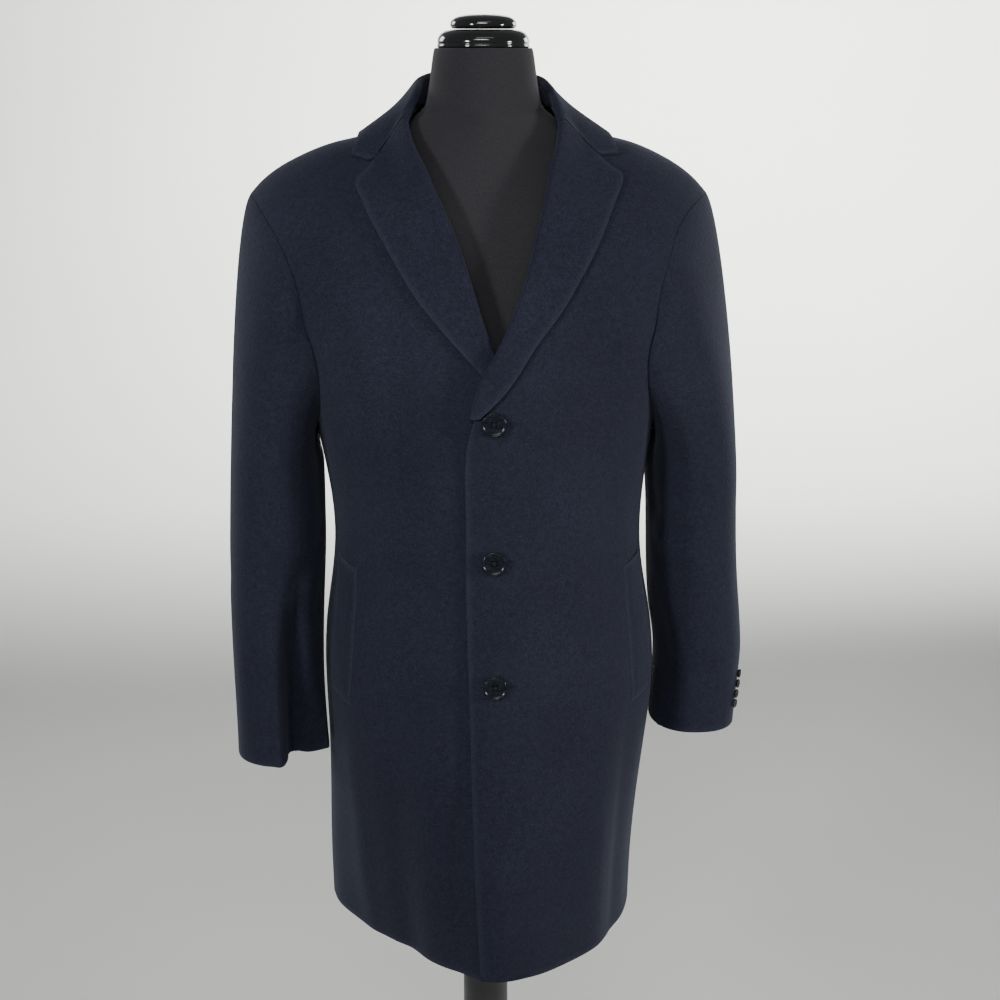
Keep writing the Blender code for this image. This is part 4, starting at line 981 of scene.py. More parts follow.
@dataclass
class ClothPiece:
    """One cut piece of the coat, as a thin curved wall on its solid's form."""

    node: str
    cut: tuple[float, float]
    rests_on: tuple[str, ...]
    core: Core = Core.BODY
    held: Held = Held.DRAPED
    area: float | None = None
    wall: float = CLOTH
    levels: int = 3
    lined: bool = False
    creased: bool = True
    side_turn: float = SIDE_TURN
    sliver: float = MERGE

    def shape(self, frame: dict) -> Item:
        """Makes the piece's outer surface, rounded and creased.

        Args:
            frame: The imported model.

        Returns:
            The surface.
        """
        item = quad_copy(frame["nodes"][self.node], f"{self.node}_cloth")
        keep_outer_side(item, self.core, self.side_turn, self.sliver)
        round_through(item, self.levels)
        return item

    def finish(self, item: Item, wardrobe: Wardrobe) -> None:
        """Args:
            item: The surface.
            wardrobe: The finishes.
        """
        self.thicken(item, wardrobe)
        item.data.shade_smooth()
        dress(item, WOOL_SLOT, self.node)

    def crease(self, mesh: Mesh, lie: ClothLie) -> None:
        """Moves the surface by the creases that cross it.

        Args:
            mesh: The surface.
            lie: The outward ways of the whole body or sleeve.
        """
        points = points_of(mesh)
        middle_x, middle_y, radius = self.core.value
        turn = np.arctan2(points[:, 0] - middle_x, -(points[:, 1] - middle_y))
        places = np.column_stack((turn * radius, points[:, 2]))
        move = np.zeros(len(points))
        for crease in CREASES[self.core]:
            move += crease.field(places, 2.0 * math.pi * radius)
        for index in np.nonzero(np.abs(move) > LEAST_MOVE)[0]:
            points[index] += lie.outward(points[index]) * move[index]
        set_points(mesh, points)

    def thicken(self, item: Item, wardrobe: Wardrobe) -> None:
        """Gives the surface its thickness, inwards, and rounds its edges.

        Args:
            item: The surface.
            wardrobe: The finishes of its outer and inner sides.
        """
        coat(item, wardrobe.wool, wardrobe.lining if self.lined else wardrobe.wool)
        wall = item.modifiers.new("wall", "SOLIDIFY")
        wall.thickness = self.wall
        wall.offset = -1.0
        wall.material_offset = 1
        wall.vertex_group = THICKNESS_GROUP if THICKNESS_GROUP in item.vertex_groups else ""
        wall.material_offset_rim = 0
        edge = item.modifiers.new("felted_edge", "BEVEL")
        edge.width = FELTED_EDGE
        edge.segments = EDGE_STEPS
        edge.limit_method = "ANGLE"
        edge.angle_limit = EDGE_TURN
        settled(item)


def point_tree(points: np.ndarray) -> KDTree:
    """A search tree of points.

    Args:
        points: Rows of x, y and z.

    Returns:
        The tree, ready to be searched.
    """
    tree = KDTree(len(points))
    for index, point in enumerate(points):
        tree.insert(point, index)
    tree.balance()
    return tree


class ClothLie:
    """The shared outward ways of pieces that are sewn into one skin."""

    NEIGHBOURS = 10

    def __init__(self, meshes: list[Mesh]) -> None:
        """Gathers the ways of the meshes' corners.

        Args:
            meshes: The meshes of the skin.
        """
        self.ways = np.array([tuple(vertex.normal) for mesh in meshes for vertex in mesh.vertices])
        self.tree = point_tree(np.vstack([points_of(mesh) for mesh in meshes]))

    def outward(self, point: np.ndarray) -> np.ndarray:
        """The outward way at a point, smoothed over its neighbours.

        Args:
            point: The point.

        Returns:
            A way of length 1.
        """
        total = np.zeros(3)
        for _, index, _ in self.tree.find_n(point, self.NEIGHBOURS):
            total += self.ways[index]
        return total / np.linalg.norm(total)


def rim_of(mesh: Mesh) -> tuple[np.ndarray, np.ndarray]:
    """The corners on a surface's rim and the rim's edges.

    Args:
        mesh: The surface.

    Returns:
        The rim's corner numbers, and the two corner numbers of each rim edge.
    """
    uses: dict[tuple[int, int], int] = {}
    for face in mesh.polygons:
        for key in face.edge_keys:
            uses[key] = uses.get(key, 0) + 1
    edges = np.array([key for key, count in uses.items() if count == 1])
    return np.unique(edges), edges


def nearest_on_rim(spots: np.ndarray, points: np.ndarray, edges: np.ndarray) -> np.ndarray:
    """The nearest places on a rim.

    Args:
        spots: Where to look from.
        points: The rim's mesh corners.
        edges: The rim's edges.

    Returns:
        One place on the rim for each spot.
    """
    start, way = points[edges[:, 0]], points[edges[:, 1]] - points[edges[:, 0]]
    found = np.empty_like(spots)
    for index, spot in enumerate(spots):
        share = np.clip(((spot - start) * way).sum(axis=1) / (way * way).sum(axis=1), 0.0, 1.0)
        places = start + share[:, None] * way
        found[index] = places[np.argmin(((places - spot) ** 2).sum(axis=1))]
    return found


def past_rim(mesh: Mesh, points: np.ndarray, corners: np.ndarray) -> np.ndarray:
    """The ways that lead over a surface's rim, away from the surface.

    Args:
        mesh: The surface.
        points: Its corners' places.
        corners: The rim's corner numbers.

    Returns:
        One way of length 1 for each rim corner.
    """
    on_rim = np.zeros(len(points), dtype=bool)
    on_rim[corners] = True
    way = np.zeros_like(points)
    for edge in mesh.edges:
        first, second = edge.vertices
        if on_rim[first] != on_rim[second]:
            inner, outer = (second, first) if on_rim[first] else (first, second)
            way[outer] += points[outer] - points[inner]
    length = np.linalg.norm(way[corners], axis=1, keepdims=True)
    return way[corners] / np.maximum(length, MERGE)


def sew_seams(shaped: dict[str, Item], seams: list[tuple[str, str]]) -> None:
    """Draws the edges of sewn pieces together, each a little past the other, as their allowances lie.

    Args:
        shaped: The surfaces by their solids' names.
        seams: The pairs that are joined.
    """
    for first, second in seams:
        meshes = (shaped[first].data, shaped[second].data)
        before = [points_of(mesh) for mesh in meshes]
        rims = [rim_of(mesh) for mesh in meshes]
        for own, other in ((0, 1), (1, 0)):
            corners, _ = rims[own]
            spots = before[own][corners]
            goal = nearest_on_rim(spots, before[other], rims[other][1])
            gap = np.linalg.norm(goal - spots, axis=1)
            sewn = (gap < SEAM_CATCH)[:, None]
            lap = past_rim(meshes[own], before[own], corners) * SEAM_LAP
            points = before[own].copy()
            points[corners] = spots + np.where(sewn, (goal - spots) / 2.0 + lap, 0.0)
            set_points(meshes[own], points)


def lay_welt(welt: Item, front: Item) -> None:
    """Lays a pocket welt close on its front: flat along its seam and foot, standing off at its mouth.

    Args:
        welt: The welt's surface.
        front: The front's surface.
    """
    tree = surface_tree(front.data)
    points = points_of(welt.data)
    thickness = welt.vertex_groups.new(name=THICKNESS_GROUP)
    angle = np.abs(np.arctan2(points[:, 0], -points[:, 1]))
    low_z, high_z = points[:, 2].min(), points[:, 2].max()
    for index, point in enumerate(points):
        up = (point[2] - low_z) / (high_z - low_z)
        row = np.abs(points[:, 2] - point[2]) < WELT_ROW
        across = (angle[index] - angle[row].min()) / max(angle[row].max() - angle[row].min(), TINY)
        inset = min(across * WELT_WIDTH, up * (high_z - low_z)) / WELT_ROLL
        rise = 1.0 - (1.0 - min(inset, 1.0)) ** 2
        mouth = across**2 * up**2
        spot, normal, _, _ = tree.find_nearest(Vector(point))
        lift = WELT_EDGE_LIFT + (CLOTH - WELT_EDGE_LIFT) * rise + WELT_MOUTH_LIFT * mouth
        points[index] = spot + normal * lift
        thickness.add([index], min(lift * WELT_FILL / CLOTH, 1.0), "REPLACE")
    set_points(welt.data, points)


def mark_free_edges(shaped: dict[str, Item]) -> None:
    """Stores on each surface how near its corners are to an edge that isn't sewn, from 0 to 1.

    Args:
        shaped: The surfaces by their solids' names.
    """
    rims = {node: points_of(item.data)[rim_of(item.data)[0]] for node, item in shaped.items()}
    for node, item in shaped.items():
        others = point_tree(np.vstack([rim for other, rim in rims.items() if other != node]))
        free = np.array([spot for spot in rims[node] if others.find(spot)[2] > SEWN_REACH]).reshape(-1, 3)
        layer = item.data.attributes.new("edge", "FLOAT", "POINT")
        if len(free) == 0:
            continue
        tree = point_tree(free)
        near = [math.exp(-((tree.find(vertex.co)[2] / EDGE_REACH) ** 2)) for vertex in item.data.vertices]
        layer.data.foreach_set("value", near)


@dataclass
class Overcoat:
    """All the cut pieces of the coat."""

    front_cut: tuple[float, float] = (0.31, 0.96)
    back_cut: tuple[float, float] = (0.29, 0.96)
    topsleeve_cut: tuple[float, float] = (0.24, 0.66)
    undersleeve_cut: tuple[float, float] = (0.165, 0.54)
    fall_cut: tuple[float, float] = (0.42, 0.075)
    stand_cut: tuple[float, float] = (0.31, 0.03)
    lapel_cut: tuple[float, float] = (0.12, 0.30)
    lapel_area: float = 0.0222
    welt_cut: tuple[float, float] = (0.052, 0.172)

    def pieces(self) -> list[ClothPiece]:
        """The coat's pieces, from the body outwards.

        Returns:
            One entry for each cut piece.
        """
        found = []
        for side, arm in (("left", Core.LEFT_ARM), ("right", Core.RIGHT_ARM)):
            panels = (f"{side}_front", f"{side}_back")
            found += [
                ClothPiece(f"{side}_front", self.front_cut, ("form_torso",)),
                ClothPiece(f"{side}_back", self.back_cut, ("form_torso",), lined=True, sliver=SLIVER),
                ClothPiece(f"{side}_topsleeve", self.topsleeve_cut, panels, arm, Held.HUNG, lined=True,
                           side_turn=SLEEVE_TURN),
                ClothPiece(f"{side}_undersleeve", self.undersleeve_cut, panels, arm, Held.HUNG, lined=True,
                           side_turn=SLEEVE_TURN),
                ClothPiece(f"{side}_lapel", self.lapel_cut, (f"{side}_front",), held=Held.FOLDED,
                           area=self.lapel_area, wall=PRESSED_CLOTH),
                ClothPiece(f"{side}_welt", self.welt_cut, (f"{side}_front",)),
            ]
        found += [
            ClothPiece("collar_fall", self.fall_cut, ("left_back", "right_back"), held=Held.FOLDED,
                       wall=PRESSED_CLOTH, creased=False),
            ClothPiece("collar_stand", self.stand_cut, ("left_back", "right_back"), levels=2, creased=False),
        ]
        return found

    def build(self, frame: dict, wardrobe: Wardrobe) -> dict[str, Item]:
        """Makes every piece and sews the seams.

        Args:
            frame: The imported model.
            wardrobe: The finishes.

        Returns:
            The pieces by their solids' names.
        """
        pieces = self.pieces()
        shaped = {piece.node: piece.shape(frame) for piece in pieces}
        sew_seams(shaped, self.seams())
        lies = {}
        for core, skin in self.skins().items():
            lies[core] = ClothLie([shaped[node].data for node in skin])
        for piece in pieces:
            if piece.creased:
                piece.crease(shaped[piece.node].data, lies[piece.core])
        for side in ("left", "right"):
            lay_welt(shaped[f"{side}_welt"], shaped[f"{side}_front"])
        mark_free_edges(shaped)
        for piece in pieces:
            piece.finish(shaped[piece.node], wardrobe)
        return shaped

    def skins(self) -> dict[Core, tuple[str, ...]]:
        """The pieces that make up the body's skin and each sleeve's."""
        return {
            Core.BODY: ("left_front", "right_front", "left_back", "right_back"),
            Core.LEFT_ARM: ("left_topsleeve", "left_undersleeve"),
            Core.RIGHT_ARM: ("right_topsleeve", "right_undersleeve"),
        }

    def seams(self) -> list[tuple[str, str]]:
        """The pairs of pieces that are joined edge to edge."""
        joined = [("left_back", "right_back")]
        for side in ("left", "right"):
            joined.append((f"{side}_front", f"{side}_back"))
            joined.append((f"{side}_topsleeve", f"{side}_undersleeve"))
        return joined


# ---- thread work ----------------------------------------------------------------------------------


class StitchTree:
    """Geometry Nodes that lay one stitch of thread on each point, along the point's lie."""

    SIZES = ("Stitch length", "Thread radius", "Unevenness")
    SEED = 7
    SEGMENTS = 6
    RINGS = 5

    def __init__(self) -> None:
        """Builds the tree."""
        self.tree = bpy.data.node_groups.new("thread_stitches", "GeometryNodeTree")
        self.sockets = {}
        self.give("Points", "Geometry")
        for name in self.SIZES:
            self.give(name, "Float")
        self.give("Thread", "Material")
        self.tree.interface.new_socket("Stitches", in_out="OUTPUT", socket_type="NodeSocketGeometry")
        self.lay_out()

    def give(self, name: str, kind: str) -> None:
        """Adds an input of the named kind to the tree."""
        socket = self.tree.interface.new_socket(name, in_out="INPUT", socket_type=f"NodeSocket{kind}")
        self.sockets[name] = socket.identifier

    def lay_out(self) -> None:
        """Adds and joins the nodes."""
        nodes, link = self.tree.nodes, self.tree.links.new
        given = nodes.new("NodeGroupInput").outputs
        strand = nodes.new("GeometryNodeMeshUVSphere")
        feed(self.tree, [strand.inputs[name] for name in ("Segments", "Rings", "Radius")],
             (self.SEGMENTS, self.RINGS, 1.0))
        half = arithmetic(self.tree, "MULTIPLY", given["Stitch length"], 0.5)
        size = nodes.new("ShaderNodeCombineXYZ")
        feed(self.tree, size.inputs, (given["Thread radius"], given["Thread radius"], half))
        shape = nodes.new("GeometryNodeTransform")
        link(strand.outputs["Mesh"], shape.inputs["Geometry"])
        link(size.outputs[0], shape.inputs["Scale"])
        lie = nodes.new("GeometryNodeInputNamedAttribute")
        lie.data_type = "FLOAT_VECTOR"
        lie.inputs["Name"].default_value = "lie"
        turn = nodes.new("FunctionNodeAlignRotationToVector")
        turn.axis = "Z"
        link(lie.outputs["Attribute"], turn.inputs["Vector"])
        chance = nodes.new("FunctionNodeRandomValue")
        chance.data_type = "FLOAT"
        chance.inputs["Seed"].default_value = self.SEED
        link(arithmetic(self.tree, "SUBTRACT", 1.0, given["Unevenness"]), chance.inputs[2])
        link(arithmetic(self.tree, "ADD", 1.0, given["Unevenness"]), chance.inputs[3])
        laid = nodes.new("GeometryNodeInstanceOnPoints")
        link(given["Points"], laid.inputs["Points"])
        link(shape.outputs["Geometry"], laid.inputs["Instance"])
        link(turn.outputs["Rotation"], laid.inputs["Rotation"])
        link(chance.outputs[1], laid.inputs["Scale"])
        real = nodes.new("GeometryNodeRealizeInstances")
        link(laid.outputs["Instances"], real.inputs["Geometry"])
        soft = nodes.new("GeometryNodeSetShadeSmooth")
        link(real.outputs["Geometry"], soft.inputs["Geometry"])
        dyed = nodes.new("GeometryNodeSetMaterial")
        link(soft.outputs["Geometry"], dyed.inputs["Geometry"])
        link(given["Thread"], dyed.inputs["Material"])
        link(dyed.outputs["Geometry"], nodes.new("NodeGroupOutput").inputs["Stitches"])

    def sew(self, name: str, points: list[Vector], lies: list[Vector], length: float, radius: float,
            uneven: float, thread: Material) -> Item:
        """Lays stitches on points and turns them into plain mesh.

        Args:
            name: The piece's name.
            points: Where the stitches lie.
            lies: The direction of each stitch.
            length: A stitch's length.
            radius: The thread's radius.
            uneven: How much the stitches differ in size.
            thread: The thread's finish.

        Returns:
            The stitches as one object.
        """
        mesh = bpy.data.meshes.new(name)
        mesh.from_pydata([tuple(point) for point in points], [], [])
        layer = mesh.attributes.new("lie", "FLOAT_VECTOR", "POINT")
        for index, lie in enumerate(lies):
            layer.data[index].vector = lie
        mesh.materials.append(thread)
        item = placed_object(name, mesh)
        rows = item.modifiers.new("stitches", "NODES")
        rows.node_group = self.tree
        values = {"Stitch length": length, "Thread radius": radius, "Unevenness": uneven, "Thread": thread}
        for key, value in values.items():
            rows[self.sockets[key]] = value
        return settled(item)


# ---- buttons --------------------------------------------------------------------------------------


@dataclass(frozen=True)
class Seat:
    """Where a button lies: its disc's middle underneath, its outward direction and its size."""

    foot: Vector
    out: Vector
    radius: float
    height: float

    WIDEST: ClassVar[float] = 0.9  # corners beyond this share of the reach lie on the disc's rim

    @classmethod
    def of(cls, node: Item, core: Core) -> Seat:
        """Reads a seat from a button's solid.

        Args:
            node: The button's solid.
            core: What the button faces away from.

        Returns:
            The seat.
        """
        points = points_of(node.data)
        middle = points.mean(axis=0)
        _, _, axes = np.linalg.svd(points - middle, full_matrices=False)
        out = axes[2]
        away = np.array([middle[0] - core.value[0], middle[1] - core.value[1], 0.0])
        if out @ away < 0.0:
            out = -out
        heights = (points - middle) @ out
        across = (points - middle) - heights[:, None] * out
        reach = np.linalg.norm(across, axis=1)
        centre = points[reach > cls.WIDEST * reach.max()].mean(axis=0)
        centre = centre + ((middle - centre) @ out) * out
        foot = Vector(centre + heights.min() * out)
        return cls(foot, Vector(out), float(reach.max()), float(heights.max() - heights.min()))

    def stand(self) -> Matrix:
        """The placing that stands a piece on the seat, its Z outwards and its Y up."""
        side = WORLD_UP.cross(self.out).normalized()
        rise = self.out.cross(side)
        turn = Matrix((side, rise, self.out)).transposed().to_4x4()
        return Matrix.Translation(self.foot) @ turn


@dataclass
class Button:
    """A four-hole button with a raised, polished rim and a dished middle.

    Its outlines are shares of the radius and of the disc's thickness, from the middle of the back round the
    rim to the middle of the dish.
    """

    node: str
    core: Core
    shank: float = 0.30  # share of the whole height below the disc
    dish: float = 0.27  # depth of the dish as a share of the disc's thickness
    back: Profile = ((0.0, 0.0), (0.80, 0.0), (1.0, 0.42))  # up from the back
    rim: Profile = ((0.985, 0.12), (0.925, 0.0), (0.870, 0.04))  # down from the rim's top
    bowl: Profile = ((0.83, 0.10), (0.747, 0.0), (0.36, -0.05), (0.0, -0.06))  # up from the dish
    rounding: float = 0.22
    steps: int = 72
    sharp: float = math.radians(38)
    hole_radius: float = 0.085  # of the radius
    hole_reach: float = 0.205  # from the middle to each hole, of the radius
    hole_depth: float = 0.05  # of the thickness, from the dish to the flare's level
    hole_flare: float = 1.5  # width of a hole's mouth, of its own width
    flare_start: float = 0.5  # how far the flare starts below that depth, of the hole's width
    flare_end: float = 0.3  # how far above it the flare ends
    hole_count: int = 4
    hole_steps: int = 16
    strands: tuple[float, ...] = (-1.5, -0.5, 0.5, 1.5)
    strand_gap: float = 0.020  # of the radius
    strand_reach: float = 2.25  # a strand's length as a share of the holes' reach
    strand_height: float = 0.02  # of the thickness, under the dish
    strand_lifts: tuple[float, float] = (0.00004, 0.00018)  # of the lower and the upper strands

    def profile(self, radius: float, low: float, high: float) -> Profile:
        """The disc's profile.

        Args:
            radius: The disc's radius.
            low: The height of its back.
            high: The height of its rim.

        Returns:
            Radius and height pairs.
        """
        depth = high - low
        dished = high - depth * self.dish
        corners = [(radius * out, low + depth * up) for out, up in self.back]
        corners += [(radius * out, high - depth * down) for out, down in self.rim]
        corners += [(radius * out, dished + depth * up) for out, up in self.bowl]
        return softened(corners, depth * self.rounding)

    def drill(self, item: Item, seat: Seat) -> None:
        """Cuts the flared holes.

        Args:
            item: The disc, lying flat.
            seat: The button's seat.
        """
        low, high = seat.height * self.shank, seat.height
        width = self.hole_radius * seat.radius
        mouth = width * self.hole_flare
        dished = high - (high - low) * (self.dish + self.hole_depth)
        waist = [(0.0, -low), (width, -low), (width, dished - width * self.flare_start),
                 (mouth, dished + width * self.flare_end), (mouth, high + low), (0.0, high + low)]
        cutters = []
        for corner in range(self.hole_count):
            turn = math.pi / self.hole_count + 2.0 * math.pi * corner / self.hole_count
            place = Vector((math.cos(turn), math.sin(turn), 0.0)) * self.hole_reach * seat.radius
            cutter = placed_object("button_hole", turned_mesh("button_hole", waist, self.hole_steps))
            cutter.data.transform(Matrix.Translation(place))
            cut = item.modifiers.new("hole", "BOOLEAN")
            cut.operation = "DIFFERENCE"
            cut.solver = "EXACT"
            cut.object = cutter
            cutters.append(cutter)
        settled(item)
        for cutter in cutters:
            bpy.data.objects.remove(cutter, do_unlink=True)

    def build(self, frame: dict, wardrobe: Wardrobe) -> Seat:
        """Args:
            frame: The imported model.
            wardrobe: The finishes.

        Returns:
            The button's seat.
        """
        seat = Seat.of(frame["nodes"][self.node], self.core)
        profile = self.profile(seat.radius, seat.height * self.shank, seat.height)
        item = placed_object(f"{self.node}_disc", turned_mesh(self.node, profile, self.steps))
        self.drill(item, seat)
        item.data.transform(seat.stand())
        dress_hard(item, wardrobe.resin, self.sharp, "dark_horn", self.node)
        return seat

    def thread_marks(self, seat: Seat) -> tuple[list[Vector], list[Vector], float]:
        """Where the crossed threads lie on the button.

        Args:
            seat: The button's seat.

        Returns:
            The threads' middles, their directions and their length.
        """
        place = seat.stand()
        low = seat.height * self.shank
        top = seat.height - (seat.height - low) * (self.dish + self.strand_height)
        points, lies = [], []
        for slant, lift in zip((math.pi / 4, -math.pi / 4), self.strand_lifts):
            along = Vector((math.cos(slant), math.sin(slant), 0.0))
            beside = Vector((-along.y, along.x, 0.0))
            for strand in self.strands:
                spot = beside * strand * seat.radius * self.strand_gap + Vector((0.0, 0.0, top + lift))
                points.append(place @ spot)
                lies.append(place.to_3x3() @ along)
        return points, lies, seat.radius * self.hole_reach * self.strand_reach


@dataclass
class Fastenings:
    """Front buttons with their buttonholes, and the cuff buttons."""

    front_count: int = 3
    cuff_count: int = 4
    thread_radius: float = 0.00024
    thread_uneven: float = 0.06
    cuff_thread: float = 0.6  # thickness of the cuff buttons' thread as a share of the front buttons'
    hole_length: float = 0.029
    hole_start: float = -0.0035
    purl_pitch: float = 0.00062
    purl_length: float = 0.0027
    purl_radius: float = 0.00026
    purl_uneven: float = 0.12
    purl_lift: float = 0.00002
    row_reach: float = 0.52  # from the slit to each row of purls, of a purl's length
    bar_stitches: int = 5
    bar_pitch: float = 1.6  # between the stitches of the end bar, of the purls' pitch

    def groups(self) -> dict[str, list[Button]]:
        """The buttons of the front and of each cuff."""
        rows = (("front", self.front_count, Core.BODY), ("left_cuff", self.cuff_count, Core.LEFT_ARM),
                ("right_cuff", self.cuff_count, Core.RIGHT_ARM))
        return {group: [Button(f"{group}_button_{index + 1}", core) for index in range(count)]
                for group, count, core in rows}

    def build(self, frame: dict, wardrobe: Wardrobe, pieces: dict[str, Item]) -> None:
        """Makes every button, its threads and its buttonhole.

        Args:
            frame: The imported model.
            wardrobe: The finishes.
            pieces: The cloth pieces by their solids' names.
        """
        tree = StitchTree()
        outer = surface_tree(pieces["left_front"].data)
        for group, buttons in self.groups().items():
            points, lies, length = [], [], 0.0
            for button in buttons:
                seat = button.build(frame, wardrobe)
                spots, ways, length = button.thread_marks(seat)
                points += spots
                lies += ways
                if group == "front":
                    self.buttonhole(tree, button.node, seat, outer, wardrobe)
            radius = self.thread_radius * (1.0 if group == "front" else self.cuff_thread)
            threads = tree.sew(f"{group}_button_threads", points, lies, length, radius, self.thread_uneven,
                               wardrobe.thread)
            dress(threads, WOOL_SLOT)

    def buttonhole(self, tree: StitchTree, node: str, seat: Seat, outer: BVHTree,
                   wardrobe: Wardrobe) -> None:
        """Sews the purled buttonhole that a front button sits in.

        Args:
            tree: The stitch maker.
            node: The button's name.
            seat: The button's seat.
            outer: The front's surface.
            wardrobe: The finishes.
        """
        start, height = seat.foot.x + self.hole_start, seat.foot.z
        upright, level = WORLD_UP, Vector((1.0, 0.0, 0.0))
        marks = []
        for row in (-1.0, 1.0):
            for index in range(int(self.hole_length / self.purl_pitch)):
                x = start + index * self.purl_pitch
                marks.append((x, height + row * self.purl_length * self.row_reach, upright))
        for index in range(self.bar_stitches):
            rise = (index - self.bar_stitches // 2) * self.purl_pitch * self.bar_pitch
            marks.append((start + self.hole_length, height + rise, level))
        points, lies = [], []
        for x, z, lie in marks:
            spot, normal, _, _ = outer.ray_cast(Vector((x, 0.0, z)) - INWARDS, INWARDS)
            if spot is not None:
                points.append(spot + normal * self.purl_lift)
                lies.append((lie - normal * lie.dot(normal)).normalized())
        hole = tree.sew(node.replace("button", "buttonhole"), points, lies, self.purl_length,
                        self.purl_radius, self.purl_uneven, wardrobe.thread)
        dress(hole, WOOL_SLOT)


# ---- dress form -----------------------------------------------------------------------------------


@dataclass
class DressForm:
    """The covered torso with its lacquered neck cap, on a steel pole and base.

    The shapes of the cap and the knob are shares of the radius and of the height, from the foot to the top.
    """

    crease_angle: float = math.radians(38)
    cover_sharp: float = math.radians(50)
    levels: int = 2
    turned_sharp: float = math.radians(60)
    turned_steps: int = 96
    cap_shape: Profile = (
        (0.0, 0.0), (0.955, 0.0), (1.0, 0.06), (1.0, 0.16), (0.984, 0.21), (0.996, 0.34),
        (0.980, 0.56), (0.920, 0.80), (0.815, 0.955), (0.700, 1.0), (0.0, 1.0),
    )
    knob_shape: Profile = (
        (0.0, 0.0), (0.885, 0.0), (0.970, 0.08), (1.0, 0.26),
        (0.970, 0.54), (0.840, 0.79), (0.560, 0.95), (0.0, 1.0),
    )
    flange: Profile = ((0.016, 0.030), (0.006, 0.022), (0.0, 0.0))  # in from its edge, down from its top
    base_edge: Profile = ((0.0, 0.45), (0.006, 0.82), (0.016, 1.0))  # inwards, and share of the height
    cap_rounding: float = 0.0030
    knob_rounding: float = 0.0040
    pole_rounding: float = 0.0030
    base_rounding: float = 0.0035

    def build(self, frame: dict, wardrobe: Wardrobe) -> None:
        """Makes every piece of the form.

        Args:
            frame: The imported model.
            wardrobe: The finishes.
        """
        self.cover_torso(frame, wardrobe)
        for name, shape, rounding in (("neck_cap", self.cap_shape, self.cap_rounding),
                                      ("neck_knob", self.knob_shape, self.knob_rounding)):
            radius, foot, top = self.sizes(name)
            corners = [(radius * out, foot + (top - foot) * up) for out, up in shape]
            self.turn(name, corners, rounding, wardrobe.lacquer, "black_gloss")
        self.turn("pole", self.pole_corners(), self.pole_rounding, wardrobe.steel, "black_steel")
        self.turn("base", self.base_corners(), self.base_rounding, wardrobe.steel, "black_steel")

    def cover_torso(self, frame: dict, wardrobe: Wardrobe) -> None:
        """Rounds the torso and covers it in jersey.

        Args:
            frame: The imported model.
            wardrobe: The finishes.
        """
        item = quad_copy(frame["nodes"]["form_torso"], "form_torso_cover")
        with face_work(item.data) as work:
            layer = work.edges.layers.float.new("crease_edge")
            for edge in work.edges:
                sharp = len(edge.link_faces) == 2 and edge.calc_face_angle(0.0) > self.crease_angle
                edge[layer] = 1.0 if sharp else 0.0
        round_through(item, self.levels)
        dress_hard(item, wardrobe.jersey, self.cover_sharp, "black_jersey", "form_torso")

    def sizes(self, name: str) -> tuple[float, float, float]:
        """A round solid's radius, foot and top."""
        low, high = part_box(name)
        return high[0], low[2], high[2]

    def turn(self, name: str, corners: Profile, rounding: float, finish: Material, slot: str) -> None:
        """Args:
            name: The solid's name.
            corners: The profile's corners.
            rounding: How far from each corner its rounding starts.
            finish: Its finish.
            slot: The finish's place in the record.
        """
        mesh = turned_mesh(name, softened(corners, rounding), self.turned_steps)
        dress_hard(placed_object(f"{name}_turned", mesh), finish, self.turned_sharp, slot, name)

    def pole_corners(self) -> Profile:
        """The profile of the pole with its flange under the torso."""
        radius, foot, top = self.sizes("pole")
        corners = [(radius - inwards, top - down) for inwards, down in self.flange]
        return [(0.0, foot), (corners[0][0], foot), *corners, (0.0, top)]

    def base_corners(self) -> Profile:
        """The profile of the round base plate."""
        radius, foot, top = self.sizes("base")
        edge = [(radius - inwards, foot + (top - foot) * up) for inwards, up in self.base_edge]
        return [(0.0, foot), (radius, foot), *edge, (0.0, top)]


# ---- studio ---------------------------------------------------------------------------------------


@dataclass(frozen=True)
class Lamp:
    """One soft lamp."""

    name: str
    place: tuple[float, float, float]
    aim: tuple[float, float, float]
    size: tuple[float, float]
    power: float
    tint: tuple[float, float, float] = (1.0, 1.0, 1.0)
    spread: float = 180.0  # degrees

    def hang(self) -> None:
        """Puts the lamp in the scene."""
        data = bpy.data.lights.new(self.name, "AREA")
        data.shape = "RECTANGLE"
        data.size, data.size_y = self.size
        data.energy = self.power
        data.color = self.tint
        data.spread = math.radians(self.spread)
        item = bpy.data.objects.new(self.name, data)
        item.location = self.place
        way = Vector(self.aim) - Vector(self.place)
        item.rotation_euler = way.to_track_quat("-Z", "Y").to_euler()
        bpy.context.scene.collection.objects.link(item)


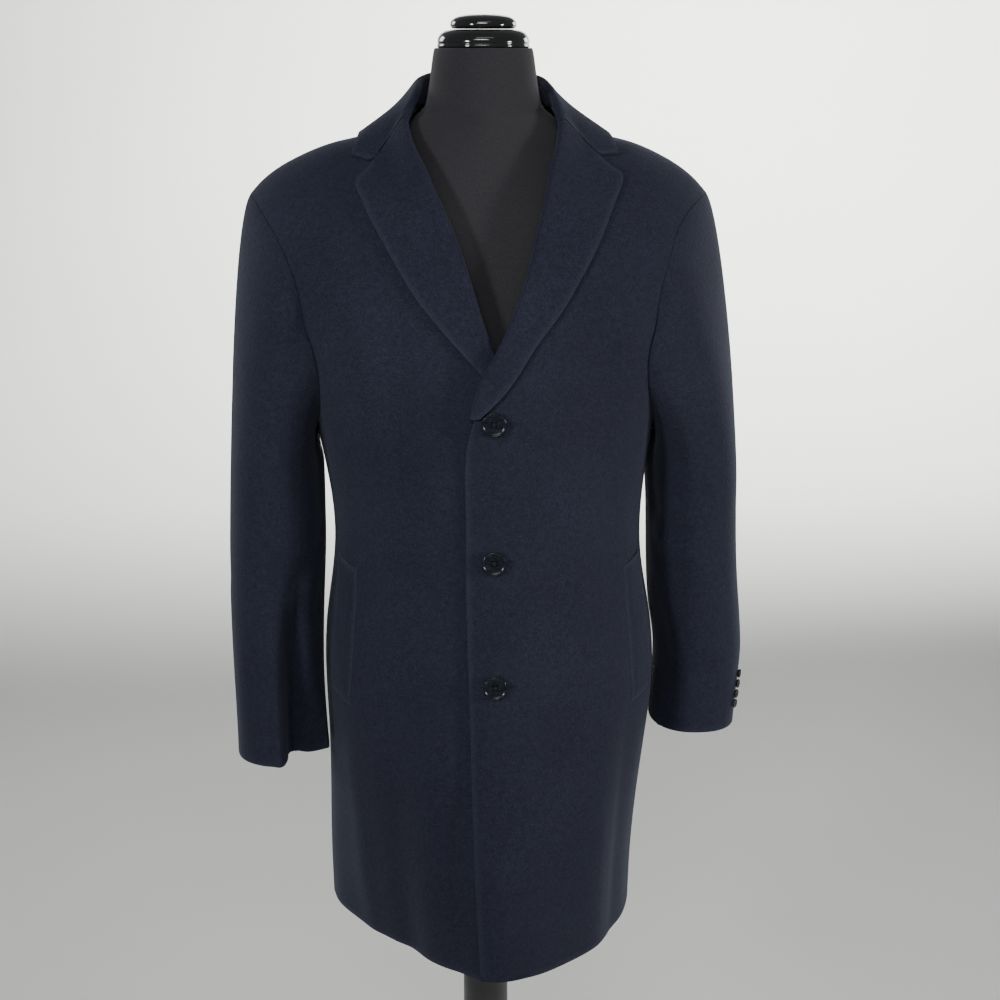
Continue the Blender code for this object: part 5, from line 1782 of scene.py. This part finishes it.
@dataclass
class Studio:
    """Pale ground that curves up behind the form, soft lamps and the camera."""

    wall_y: float = 6.4
    sweep: float = 2.4
    sweep_steps: int = 16
    half_width: float = 9.0
    near_y: float = -7.0
    wall_height: float = 5.0
    camera_place: tuple[float, float, float] = (-0.136, -1.945, 1.55)
    camera_down: float = math.radians(14.54)
    focal_px: float = 1750.0
    frame_px: float = 1000.0
    sensor: float = 36.0
    shift_px: float = 16.0
    clip: tuple[float, float] = (0.01, 50.0)
    world: Colour = rgba(0.86, 0.89, 0.93)
    world_strength: float = 0.24
    # each lamp's name, place, aim, width and height, power, tint and spread
    lamps: tuple[Lamp, ...] = (
        Lamp("key_right", (2.35, -1.15, 1.45), (0.0, 0.0, 1.05), (0.4, 0.4), 14.5, (1.0, 0.98, 0.97), 100.0),
        Lamp("key_left", (-1.75, -1.8, 1.80), (0.0, 0.0, 1.15), (0.35, 0.35), 8.5, (0.98, 0.98, 1.0), 90.0),
        Lamp("front_fill", (-0.5, -3.2, 2.90), (0.0, 0.0, 1.10), (2.2, 0.35), 4.8, (1.0, 1.0, 1.0), 46.0),
        Lamp("overhead", (0.0, -1.5, 3.0), (0.0, 0.1, 1.2), (1.4, 0.2), 3.0, (1.0, 1.0, 1.0)),
        Lamp("back_left", (-2.5, 2.5, 2.3), (0.0, 0.0, 1.0), (1.2, 1.2), 11.0, (1.0, 1.0, 1.0), 90.0),
        Lamp("back_right", (2.7, 2.3, 1.9), (0.0, 0.0, 1.0), (1.2, 1.2), 11.0, (1.0, 1.0, 1.0), 90.0),
        Lamp("wall_wash", (1.6, 3.4, 3.6), (1.4, 6.4, 0.9), (5.0, 0.6), 480.0, (1.0, 0.99, 0.97), 130.0),
    )

    def build(self, wardrobe: Wardrobe) -> None:
        """Makes the ground, the lamps, the world and the camera.

        Args:
            wardrobe: The finishes.
        """
        self.ground(wardrobe)
        for lamp in self.lamps:
            lamp.hang()
        self.light_world()
        self.aim_camera()

    def ground(self, wardrobe: Wardrobe) -> None:
        """Builds the floor and the wall as one curved sheet.

        Args:
            wardrobe: The finishes.
        """
        profile = [(self.near_y, 0.0)]
        for step in range(self.sweep_steps + 1):
            turn = math.pi / 2 * step / self.sweep_steps
            along, up = 1.0 - math.sin(turn), 1.0 - math.cos(turn)
            profile.append((self.wall_y - self.sweep * along, self.sweep * up))
        profile.append((self.wall_y, self.wall_height))
        mesh = bpy.data.meshes.new("studio_ground")
        with face_work(mesh) as work:
            rows = []
            for y, z in profile:
                rows.append([work.verts.new((x, y, z)) for x in (-self.half_width, self.half_width)])
            for low, high in zip(rows, rows[1:]):
                work.faces.new((low[0], low[1], high[1], high[0])).smooth = True
        mesh.materials.append(wardrobe.ground)
        placed_object("studio_ground", mesh)

    def light_world(self) -> None:
        """Fills the room with even pale light."""
        world = bpy.data.worlds.new("studio_world")
        world.use_nodes = True
        background = world.node_tree.nodes["Background"]
        background.inputs["Color"].default_value = self.world
        background.inputs["Strength"].default_value = self.world_strength
        bpy.context.scene.world = world

    def aim_camera(self) -> None:
        """Places the camera in front of the chest, looking slightly down."""
        data = bpy.data.cameras.new("studio_camera")
        data.sensor_width = self.sensor
        data.lens = self.focal_px * self.sensor / self.frame_px
        data.clip_start, data.clip_end = self.clip
        camera = bpy.data.objects.new("studio_camera", data)
        camera.location = self.camera_place
        across, back, _ = self.camera_place
        turn = -math.atan2(-across, -back) - math.atan2(self.shift_px, self.focal_px)
        camera.rotation_euler = (math.pi / 2 - self.camera_down, 0.0, turn)
        bpy.context.scene.collection.objects.link(camera)
        bpy.context.scene.camera = camera


def main() -> None:
    """Builds the coat, its buttons, the form and the studio."""
    logging.basicConfig(level=logging.INFO, format="%(message)s")
    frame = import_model()
    wardrobe = Wardrobe()
    pieces = Overcoat().build(frame, wardrobe)
    Fastenings().build(frame, wardrobe, pieces)
    DressForm().build(frame, wardrobe)
    Studio().build(wardrobe)


if __name__ == "__main__":
    main()
